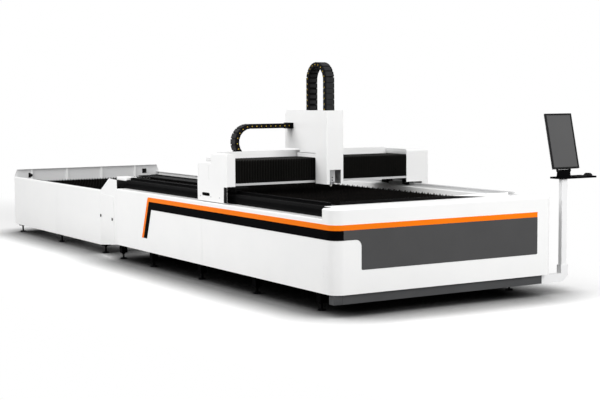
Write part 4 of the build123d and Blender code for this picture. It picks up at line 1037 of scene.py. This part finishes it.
@dataclass
class Slats:
    """Row of support slats with fine pointed teeth on one pallet."""

    node: str
    body: Body
    first_depth: float
    tip: float
    half: float = 0.740
    height: float = 0.110
    tooth: float = 0.030
    teeth: int = 35
    wall: float = 0.004
    pitch: float = 0.100
    count: int = 30

    def build(self) -> None:
        """Model one slat, point its teeth and repeat it along the pallet."""
        deselect()
        bpy.ops.mesh.primitive_grid_add(x_subdivisions=2 * self.teeth, y_subdivisions=1, size=1.0,
                                        rotation=(math.pi / 2, 0.0, math.pi / 2))
        slats = bpy.context.object
        slats.name = f"toothed_{self.node}"
        slats.scale = (2 * self.half, self.height, 1.0)
        slats.location = at(self.first_depth, 0.0, self.tip - self.height / 2)
        bpy.ops.object.transform_apply(location=True, rotation=True, scale=True)
        step = self.half / self.teeth
        for part in (*slats.data.edges, *slats.data.polygons):
            part.select = False
        for vertex in slats.data.vertices:
            column = round((vertex.co.y - CENTRE_Y + self.half) / step)
            vertex.select = column % 2 == 0 and vertex.co.z > self.tip - self.tooth
        with editing(slats, "VERT"):
            bpy.ops.transform.translate(value=(0.0, 0.0, -self.tooth))
        shape(slats, "SOLIDIFY", thickness=self.wall, offset=0.0)
        row(slats, self.count, (-self.pitch, 0.0, 0.0))
        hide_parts(self.node)
        settle(slats, SLAT, self.body)


@dataclass
class Fasteners:
    """Small screws and plugs that show on the covers."""

    cover_screw: Screw = Screw(0.007, 0.003)
    cover_screws: tuple[Span, ...] = ((2.156, 0.917), (2.345, 0.917), (2.574, 0.914))
    cover_near: float = -1.242
    cover_far: float = 1.247
    far_height: float = 0.955
    hood_plug: Screw = Screw(0.0055, 0.0015)
    hood_side: float = -1.262
    hood_plugs: tuple[Span, ...] = (
        (0.172, 0.447), (0.172, 0.425), (0.112, 0.447), (0.112, 0.425), (0.172, 0.381), (0.172, 0.355),
        (0.112, 0.381), (0.112, 0.355), (0.130, 0.291),
    )

    def build(self) -> None:
        """Set the screws of both end covers and the plugs of the hood."""
        near = [facing(at(depth, self.cover_near, height), NEAR) for depth, height in self.cover_screws]
        far = [facing(at(depth, self.cover_far, self.far_height), FAR) for depth, _ in self.cover_screws]
        settle(copies("end_cover_screws", self.cover_screw.model(), near + far), BRIGHT, Body.GANTRY)
        plugs = [facing(at(depth, self.hood_side, height), NEAR) for depth, height in self.hood_plugs]
        settle(copies("hood_plugs", self.hood_plug.model(), plugs), POST_GREY, Body.FRAME)


@dataclass
class HeadCover:
    """Light cover on the front of the cutting head, seen through the notch of its housing."""

    room: Room = Room((1.796, 1.860), (-0.158, -0.090), (1.052, 1.205))
    rim: float = 0.005
    field_depth: float = 0.0015
    rounding: float = 0.002
    screw: Screw = Screw(0.006, 0.004)
    screw_heights: Span = (1.072, 1.100)

    def build(self) -> None:
        """Model the cover with a sunk front field and its two screws."""
        cover = sink(self.room.block("head_cover"), FRONT, self.rim, self.field_depth)
        settle(soften(cover, self.rounding), HEAD_COVER, Body.HEAD)
        depth, middle = self.room.depths[0] + self.field_depth, sum(self.room.offsets) / 2
        spots = [facing(at(depth, middle, height), FRONT) for height in self.screw_heights]
        settle(copies("head_cover_screws", self.screw.model(), spots), OILED_SIDE_SHADED, Body.HEAD)


@dataclass
class CornerShadeSheet:
    """Black sheet on the lower front corner of the near end cover, standing in for the shaded cut-out there:
    painted shade.
    """

    room: Room = Room((1.9975, 2.0615), (-1.246, -1.242), (0.872, 1.030))
    top_share: float = 0.4
    rounding: float = 0.001

    def build(self) -> None:
        """Model the sheet with a lip that leans out at the bottom."""
        corner = at(self.room.depths[0], self.room.offsets[1], self.room.heights[1])
        strip = taper(self.room.block("cover_corner_shade_sheet"), UP, (1.0, self.top_share, 1.0), corner)
        settle(soften(strip, self.rounding), RUBBER, Body.GANTRY)


@dataclass
class BeamEnd:
    """Plug that closes the near end of the front base beam."""

    room: Room = Room((0.040, 0.120), (-1.240, -1.150), (0.112, 0.199))
    rim: float = 0.010
    field_depth: float = 0.002
    rounding: float = 0.003

    def build(self) -> None:
        """Model the plug with a sunk outer field and rounded edges."""
        plug = sink(self.room.block("base_beam_end"), NEAR, self.rim, self.field_depth)
        settle(soften(plug, self.rounding), GREY, Body.FRAME)


@dataclass
class CoverSheet:
    """Sheet that closes the far end cover above the bellows."""

    room: Room = Room((2.003, 2.386), (0.960, 0.963), (1.300, 1.349))
    flange: float = 0.030
    flange_share: float = 0.08
    rounding: float = 0.0008

    def build(self) -> None:
        """Model the sheet and fold a flange along its lower edge into the cover."""
        sheet = self.room.block("cover_sheet")
        pick_faces(sheet, FAR)
        with editing(sheet):
            bpy.ops.mesh.extrude_region_move(TRANSFORM_OT_translate={"value": (0.0, self.flange, 0.0)})
            bpy.ops.transform.resize(value=(1.0, 1.0, self.flange_share),
                                     center_override=at(0.0, 0.0, self.room.heights[0]))
        settle(soften(sheet, self.rounding), WHITE, Body.GANTRY)


@dataclass
class RailEnds:
    """Blocks that close the rear ends of the rail seats, each with a white cap."""

    depths: Span = (4.7005, 4.985)
    inner: float = 1.000
    outer: float = 1.140
    bottom: float = 0.8655
    split: float = 0.946
    top: float = 0.986
    seat_rim: float = 0.012
    seat_sink: float = 0.004
    seat_round: float = 0.003
    cap_rim: float = 0.010
    cap_sink: float = 0.001
    cap_round: float = 0.004

    def build(self) -> None:
        """Model block and cap on both sides."""
        for side, place, _ in SIDES:
            offsets = tuple(sorted((side * self.inner, side * self.outer)))
            seat = Room(self.depths, offsets, (self.bottom, self.split)).block(f"rail_end_{place}")
            sink(seat, REAR, self.seat_rim, self.seat_sink)
            settle(soften(seat, self.seat_round), SEAT, Body.FRAME)
            cap = Room(self.depths, offsets, (self.split, self.top)).block(f"rail_cap_{place}")
            sink(cap, UP, self.cap_rim, self.cap_sink)
            settle(soften(cap, self.cap_round), WHITE, Body.FRAME)


@dataclass
class MonitorSkirt:
    """Thin skirt under the monitor, between the two ears of its hinge."""

    room: Room = Room((0.173, 0.177), (1.487, 1.617), (1.1995, 1.216))
    edge_shares: Point = (0.6, 0.98, 1.0)
    rounding: float = 0.001

    def build(self) -> None:
        """Model the skirt with a narrowed lower edge."""
        skirt = taper(self.room.block("monitor_skirt"), DOWN, self.edge_shares)
        settle(soften(skirt, self.rounding), PLASTIC, Body.MONITOR)


@dataclass
class WallStops:
    """Rubber buffers on the rear wall of the exchange table that stop the pallet."""

    wall_depth: float = 8.676
    offset: float = 0.897
    height: float = 0.806
    plate: float = 0.034
    plate_wall: float = 0.005
    plate_rim: float = 0.006
    plate_rise: float = 0.001
    plate_round: float = 0.0015
    radius: float = 0.024
    length: float = 0.026
    tip_share: float = 0.82
    tip_round: float = 0.003

    def build(self) -> None:
        """Model one stop on its plate and set it at both ends of the wall."""
        base = block("plate", (-self.plate, -self.plate, 0.0), (self.plate, self.plate, self.plate_wall))
        sink(base, UP, self.plate_rim, -self.plate_rise)
        middle = (0.0, 0.0, self.plate_wall + self.length / 2)
        buffer = rod("buffer", middle, self.radius, self.length, UP)
        taper(buffer, UP, (self.tip_share, self.tip_share, 1.0))
        stop = join("stop", [soften(base, self.plate_round), soften(buffer, self.tip_round)])
        places = [facing(at(self.wall_depth, side * self.offset, self.height), FRONT) for side in (-1, 1)]
        settle(copies("pallet_stops", stop, places), RUBBER, Body.FRAME)


@dataclass
class ChainEnd:
    """Clamp that holds the moving end of the cross chain at the head housing."""

    depth: float = 2.500
    height: float = 1.621
    side: float = -0.2013
    half: float = 0.064
    tall: float = 0.031
    reach: float = 0.046
    rim: float = 0.005
    mouth: float = 0.012
    rounding: float = 0.002
    screw: Screw = Screw(0.006, 0.004)
    screw_half: float = 0.042

    def build(self) -> None:
        """Model the clamp with its open mouth and its two screws."""
        clamp = Room((self.depth - self.half, self.depth + self.half), (self.side - self.reach, self.side),
                     (self.height - self.tall, self.height + self.tall)).block("chain_clamp")
        pick_faces(clamp, NEAR)
        with editing(clamp):
            bpy.ops.mesh.inset(thickness=self.rim, depth=0.0)
            bpy.ops.mesh.extrude_region_move(TRANSFORM_OT_translate={"value": (0.0, self.mouth, 0.0)})
        settle(soften(clamp, self.rounding), BLACK, Body.CARRIAGE)
        offset, top = self.side - self.reach / 2, self.height + self.tall
        spots = [facing(at(self.depth + side * self.screw_half, offset, top), UP) for side in (-1, 1)]
        settle(copies("chain_clamp_screws", self.screw.model(), spots), BRIGHT, Body.CARRIAGE)


@dataclass
class Console:
    """Bezel of the monitor, and keyboard and mouse on the tray."""

    pivot_depth: float = 0.175
    pivot_height: float = 1.186
    offset: float = 1.562
    width: float = 0.345
    tall: float = 0.556
    rise: float = 0.016
    front: float = 0.0225
    bezel: float = 0.017
    bezel_wall: float = 0.004
    bezel_round: float = 0.0012
    tray_depth: float = 0.1725
    tray_floor: float = 1.114
    board_offset: float = 1.732
    board_half: Span = (0.0525, 0.080)
    board_top: float = 0.016
    board_shares: Point = (0.955, 0.97, 1.0)
    board_rim: float = 0.004
    board_sink: float = 0.0015
    board_round: float = 0.0015
    key_low: Point = (-0.0068, -0.0062, -0.002)
    key_high: Point = (0.0068, 0.0062, 0.005)
    key_shares: Point = (0.78, 0.78, 1.0)
    key_rim: float = 0.001
    key_sink: float = 0.0005
    key_rows: int = 5
    key_columns: int = 10
    key_pitch: Span = (0.0178, 0.0146)
    mouse_offset: float = 1.868
    mouse_half: Span = (0.050, 0.029)
    mouse_top: float = 0.034
    mouse_block_share: float = 1.38
    mouse_crown_share: float = 0.38
    mouse_foot: float = 0.003
    mouse_levels: int = 2
    mouse_smooth: float = 50.0
    wheel_ahead: float = 0.45
    wheel_height: float = 0.86
    wheel_radius: float = 0.009
    wheel_length: float = 0.008
    wheel_round: float = 0.0015

    def build(self) -> None:
        """Build bezel, keyboard and mouse."""
        self.frame_bezel()
        board = join("console_input", [self.keyboard(), self.mouse()])
        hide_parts("keyboard_mouse")
        settle(board, PLASTIC, Body.FRAME)

    def frame_bezel(self) -> None:
        """Model the frame round the display and lay it on the tilted shell."""
        ring = block("monitor_bezel", (-self.width / 2, -self.tall / 2, 0.0),
                     (self.width / 2, self.tall / 2, self.bezel_wall))
        pick_faces(ring, UP, DOWN)
        with editing(ring):
            bpy.ops.mesh.inset(thickness=self.bezel, depth=0.0, use_individual=True)
            bpy.ops.mesh.bridge_edge_loops()
        soften(ring, self.bezel_round)
        normal, across = Vector(SCREEN_NORMAL), Vector(FAR)
        upward = normal.cross(across)
        corner = at(self.pivot_depth, self.offset, self.pivot_height) + normal * self.front
        corner += upward * (self.rise + self.tall / 2)
        turn = Matrix((across, upward, normal)).transposed().to_4x4()
        settle(copies("monitor_bezel", ring, [Matrix.Translation(corner) @ turn]), PLASTIC, Body.MONITOR)

    def tray_block(self, name: str, offset: float, half: Span, top: float) -> tuple[Piece, Vector]:
        """Start a piece as a cuboid that stands on the tray.

        Args:
            name: Name of the piece.
            offset: Where it stands.
            half: Half its length and half its width.
            top: Its height.

        Returns:
            The piece and the middle of its foot.
        """
        centre = at(self.tray_depth, offset, self.tray_floor)
        return block(name, centre - Vector((*half, 0.0)), centre + Vector((*half, top))), centre

    def keyboard(self) -> Piece:
        """Model the sloped board and its rows of keys.

        Returns:
            The keyboard.
        """
        board, centre = self.tray_block("board", self.board_offset, self.board_half, self.board_top)
        sink(taper(board, UP, self.board_shares), UP, self.board_rim, self.board_sink)
        soften(board, self.board_round)
        key = taper(block("key", self.key_low, self.key_high), UP, self.key_shares)
        sink(key, UP, self.key_rim, self.key_sink)
        spots = []
        for line in range(self.key_rows):
            for column in range(self.key_columns):
                along = (line - (self.key_rows - 1) / 2) * self.key_pitch[0]
                across = (column - (self.key_columns - 1) / 2) * self.key_pitch[1]
                spots.append(Matrix.Translation(centre + Vector((along, across, self.board_top))))
        return join("board", [board, copies("keys", key, spots)])

    def mouse(self) -> Piece:
        """Model the domed mouse with its wheel.

        Returns:
            The mouse.
        """
        shell, centre = self.tray_block("mouse", self.mouse_offset, self.mouse_half,
                                        self.mouse_top * self.mouse_block_share)
        with editing(shell):
            bpy.ops.mesh.select_all(action="SELECT")
            bpy.ops.mesh.subdivide(number_cuts=1)
        taper(shell, UP, (self.mouse_crown_share, self.mouse_crown_share, 1.0))
        shape(shell, "SUBSURF", levels=self.mouse_levels, render_levels=self.mouse_levels)
        for vertex in shell.data.vertices:
            vertex.select = vertex.co.z < self.tray_floor + self.mouse_foot
        with editing(shell, "VERT"):
            bpy.ops.transform.resize(value=(1.0, 1.0, 0.0), center_override=centre)
        bpy.ops.object.shade_smooth_by_angle(angle=math.radians(self.mouse_smooth))
        ahead, height = self.mouse_half[0] * self.wheel_ahead, self.mouse_top * self.wheel_height
        hub = centre + Vector((ahead, 0.0, height))
        wheel = rod("wheel", hub, self.wheel_radius, self.wheel_length, FAR)
        return join("mouse", [shell, soften(wheel, self.wheel_round)])


@dataclass
class Racks:
    """Teeth of the two racks that the gantry pinions run on."""

    front_depth: float = 0.372
    rear_depth: float = 4.688
    offset: float = 1.160
    bottom: float = 0.890
    top: float = 0.925
    margin: float = 0.002
    pitch: float = 0.0075
    tooth: float = 0.0008
    tooth_share: float = 0.55
    tip_share: float = 0.5

    def build(self) -> None:
        """Lay a row of teeth on the outer face of each rack."""
        count = int((self.rear_depth - self.front_depth) / self.pitch)
        size = Vector((self.pitch * self.tooth_share, self.tooth, self.top - self.bottom - 2 * self.margin))
        for side, place, normal in SIDES:
            low = min(side * self.offset, side * (self.offset + self.tooth))
            start = at(self.front_depth + self.pitch, low, self.bottom + self.margin)
            tooth = block(f"rack_teeth_{place}", start, start + size)
            taper(tooth, normal, (self.tip_share, 1.0, 1.0))
            settle(row(tooth, count - 2, (-self.pitch, 0.0, 0.0)), OILED_SIDE_SHADED, Body.FRAME)


@dataclass(frozen=True)
class Lamp:
    """Large soft lamp: its place, the point that it lights, its size and power."""

    name: str
    place: Point
    target: Point
    size: float
    power: float

    def build(self) -> None:
        """Hang the lamp and aim it."""
        light = bpy.data.lights.new(self.name, "AREA")
        light.shape = "SQUARE"
        light.size = self.size
        light.energy = self.power
        holder = bpy.data.objects.new(self.name, light)
        bpy.context.scene.collection.objects.link(holder)
        holder.location = self.place
        aim = Vector(self.target) - Vector(self.place)
        holder.rotation_euler = aim.to_track_quat("-Z", "Y").to_euler()


@dataclass
class Studio:
    """Pale floor, soft light and the camera at the photograph's angle."""

    camera_place: Point = (13.738, -7.637, 1.959)
    heading: float = 31.27
    pitch: float = 4.683
    roll: float = -0.345
    focal_pixels: float = 1298.3
    image_width: float = 600.0
    sensor: float = 36.0
    view_reach: float = 400.0
    floor_size: float = 160.0
    floor_drop: float = 0.0005
    floor_roughness: float = 0.9
    half_length: float = 4.34
    half_width: float = 1.30
    glow_span: Span = (1.15, 2.60)
    floor_bounce: Colour = (0.15, 0.15, 0.15)
    floor_seen: Colour = (0.98, 0.98, 0.98)
    shade_reach: float = 0.60
    shade_power: float = 3.0
    shade_samples: int = 8
    world_strength: float = 0.47
    lamps: tuple[Lamp, ...] = (
        Lamp("overhead_soft", (0.0, 0.0, 9.0), (0.0, 0.0, 0.0), 12.0, 240.0),
        Lamp("front_soft", (14.0, 2.0, 5.0), (2.5, 0.0, 0.8), 7.0, 1080.0),
        Lamp("near_soft", (0.5, -12.0, 7.0), (0.0, 0.0, 0.6), 9.0, 1380.0),
    )

    def build(self) -> None:
        """Set up floor, world, lamps and camera."""
        self.floor()
        self.world()
        for lamp in self.lamps:
            lamp.build()
        self.camera()
        bpy.context.scene.view_settings.view_transform = "Standard"

    def floor(self) -> None:
        """Lay a pale floor that turns plain white away from the machine and keeps its shadow."""
        deselect()
        bpy.ops.mesh.primitive_plane_add(size=self.floor_size, location=(0.0, 0.0, -self.floor_drop))
        ground = bpy.context.object
        ground.name = "studio_floor"
        paint = bpy.data.materials.new("studio_floor")
        paint.use_nodes = True
        wiring = Wiring(paint.node_tree)
        seen = self.background_rays(wiring)
        shader = paint.node_tree.nodes["Principled BSDF"]
        wiring.feed(shader, {
            "Base Color": self.contact_shade(wiring, wiring.mix(seen, self.floor_bounce, self.floor_seen)),
            "Roughness": self.floor_roughness,
            "Specular IOR Level": 0.0,
        })
        squeeze = wiring.node("Mapping", {
            "Vector": wiring.place(),
            "Location": (0.0, -CENTRE_Y / self.half_width, 0.0),
            "Scale": (1.0 / self.half_length, 1.0 / self.half_width, 0.0),
        })
        reach = wiring.node("VectorMath", {0: squeeze.outputs["Vector"]}, operation="LENGTH").outputs["Value"]
        share = wiring.maths("MULTIPLY", wiring.spread(reach, self.glow_span, curve="SMOOTHSTEP"), seen)
        glow = wiring.node("Emission", {"Strength": 1.0}).outputs["Emission"]
        wiring.mix_shaders(share, shader.outputs["BSDF"], glow, "Material Output")
        ground.data.materials.append(paint)

    def contact_shade(self, wiring: Wiring, colour: Socket) -> Socket:
        """Deepen the floor where the machine stands close above it.

        Args:
            wiring: The node tree of the floor.
            colour: Colour of the open floor.

        Returns:
            The colour with the contact shade.
        """
        near = wiring.node("AmbientOcclusion", {"Distance": self.shade_reach}, samples=self.shade_samples)
        deep = wiring.maths("POWER", near.outputs["AO"], self.shade_power)
        shaded = wiring.node("VectorMath", {}, operation="SCALE")
        wiring.feed(shaded, {0: colour, "Scale": deep})
        return shaded.outputs["Vector"]

    def background_rays(self, wiring: Wiring) -> Socket:
        """Tell the rays that see the background from those that light the machine.

        Args:
            wiring: The node tree of the floor or the world.

        Returns:
            A socket that is 1 for camera, glossy and transmission rays.
        """
        rays = wiring.node("LightPath", {}).outputs
        found = rays["Is Camera Ray"]
        for kind in ("Is Glossy Ray", "Is Transmission Ray"):
            found = wiring.maths("MAXIMUM", found, rays[kind])
        return found

    def world(self) -> None:
        """White world: even fill light, plain white to the camera."""
        world = bpy.data.worlds.new("studio_world")
        bpy.context.scene.world = world
        world.use_nodes = True
        wiring = Wiring(world.node_tree)
        white = (1.0, 1.0, 1.0, 1.0)
        fill = world.node_tree.nodes["Background"]
        wiring.feed(fill, {"Color": white, "Strength": self.world_strength})
        plain = wiring.node("Background", {"Color": white, "Strength": 1.0})
        wiring.mix_shaders(self.background_rays(wiring), fill.outputs["Background"],
                           plain.outputs["Background"], "World Output")

    def camera(self) -> None:
        """Place the camera as it was fitted to the photograph."""
        turn, down = math.radians(self.heading), math.radians(self.pitch)
        ahead = Vector((-math.cos(turn) * math.cos(down), math.sin(turn) * math.cos(down), -math.sin(down)))
        right = ahead.cross(Vector(UP)).normalized()
        above = right.cross(ahead)
        view = Matrix((right, above, -ahead)).transposed().to_4x4()
        lens = bpy.data.cameras.new("photo_camera")
        lens.sensor_width = self.sensor
        lens.sensor_fit = "HORIZONTAL"
        lens.lens = self.focal_pixels / self.image_width * self.sensor
        lens.clip_end = self.view_reach
        holder = bpy.data.objects.new("photo_camera", lens)
        bpy.context.scene.collection.objects.link(holder)
        roll = Matrix.Rotation(math.radians(self.roll), 4, "Z")
        holder.matrix_world = Matrix.Translation(Vector(self.camera_place)) @ view @ roll
        bpy.context.scene.camera = holder


def main() -> None:
    """Dress the CAD nodes, build the machine's detail in order and set up the studio."""
    logging.basicConfig(level=logging.INFO, format="%(message)s")
    deselect()
    for assembly in (
        Dressing(),
        Bellows("bellows_near", carriage_end_high=True),
        Bellows("bellows_far", carriage_end_high=False),
        CrossChain(),
        HeadChain(),
        Racks(),
        Slats("bed_pallet_slats", Body.PALLET, 0.590, 0.940),
        Slats("exchange_pallet_slats", Body.FRAME, 5.648, 0.737),
        Fasteners(),
        HeadCover(),
        CornerShadeSheet(),
        BeamEnd(),
        CoverSheet(),
        RailEnds(),
        MonitorSkirt(),
        WallStops(),
        ChainEnd(),
        Console(),
        Studio(),
    ):
        assembly.build()


if __name__ == "__main__":
    main()
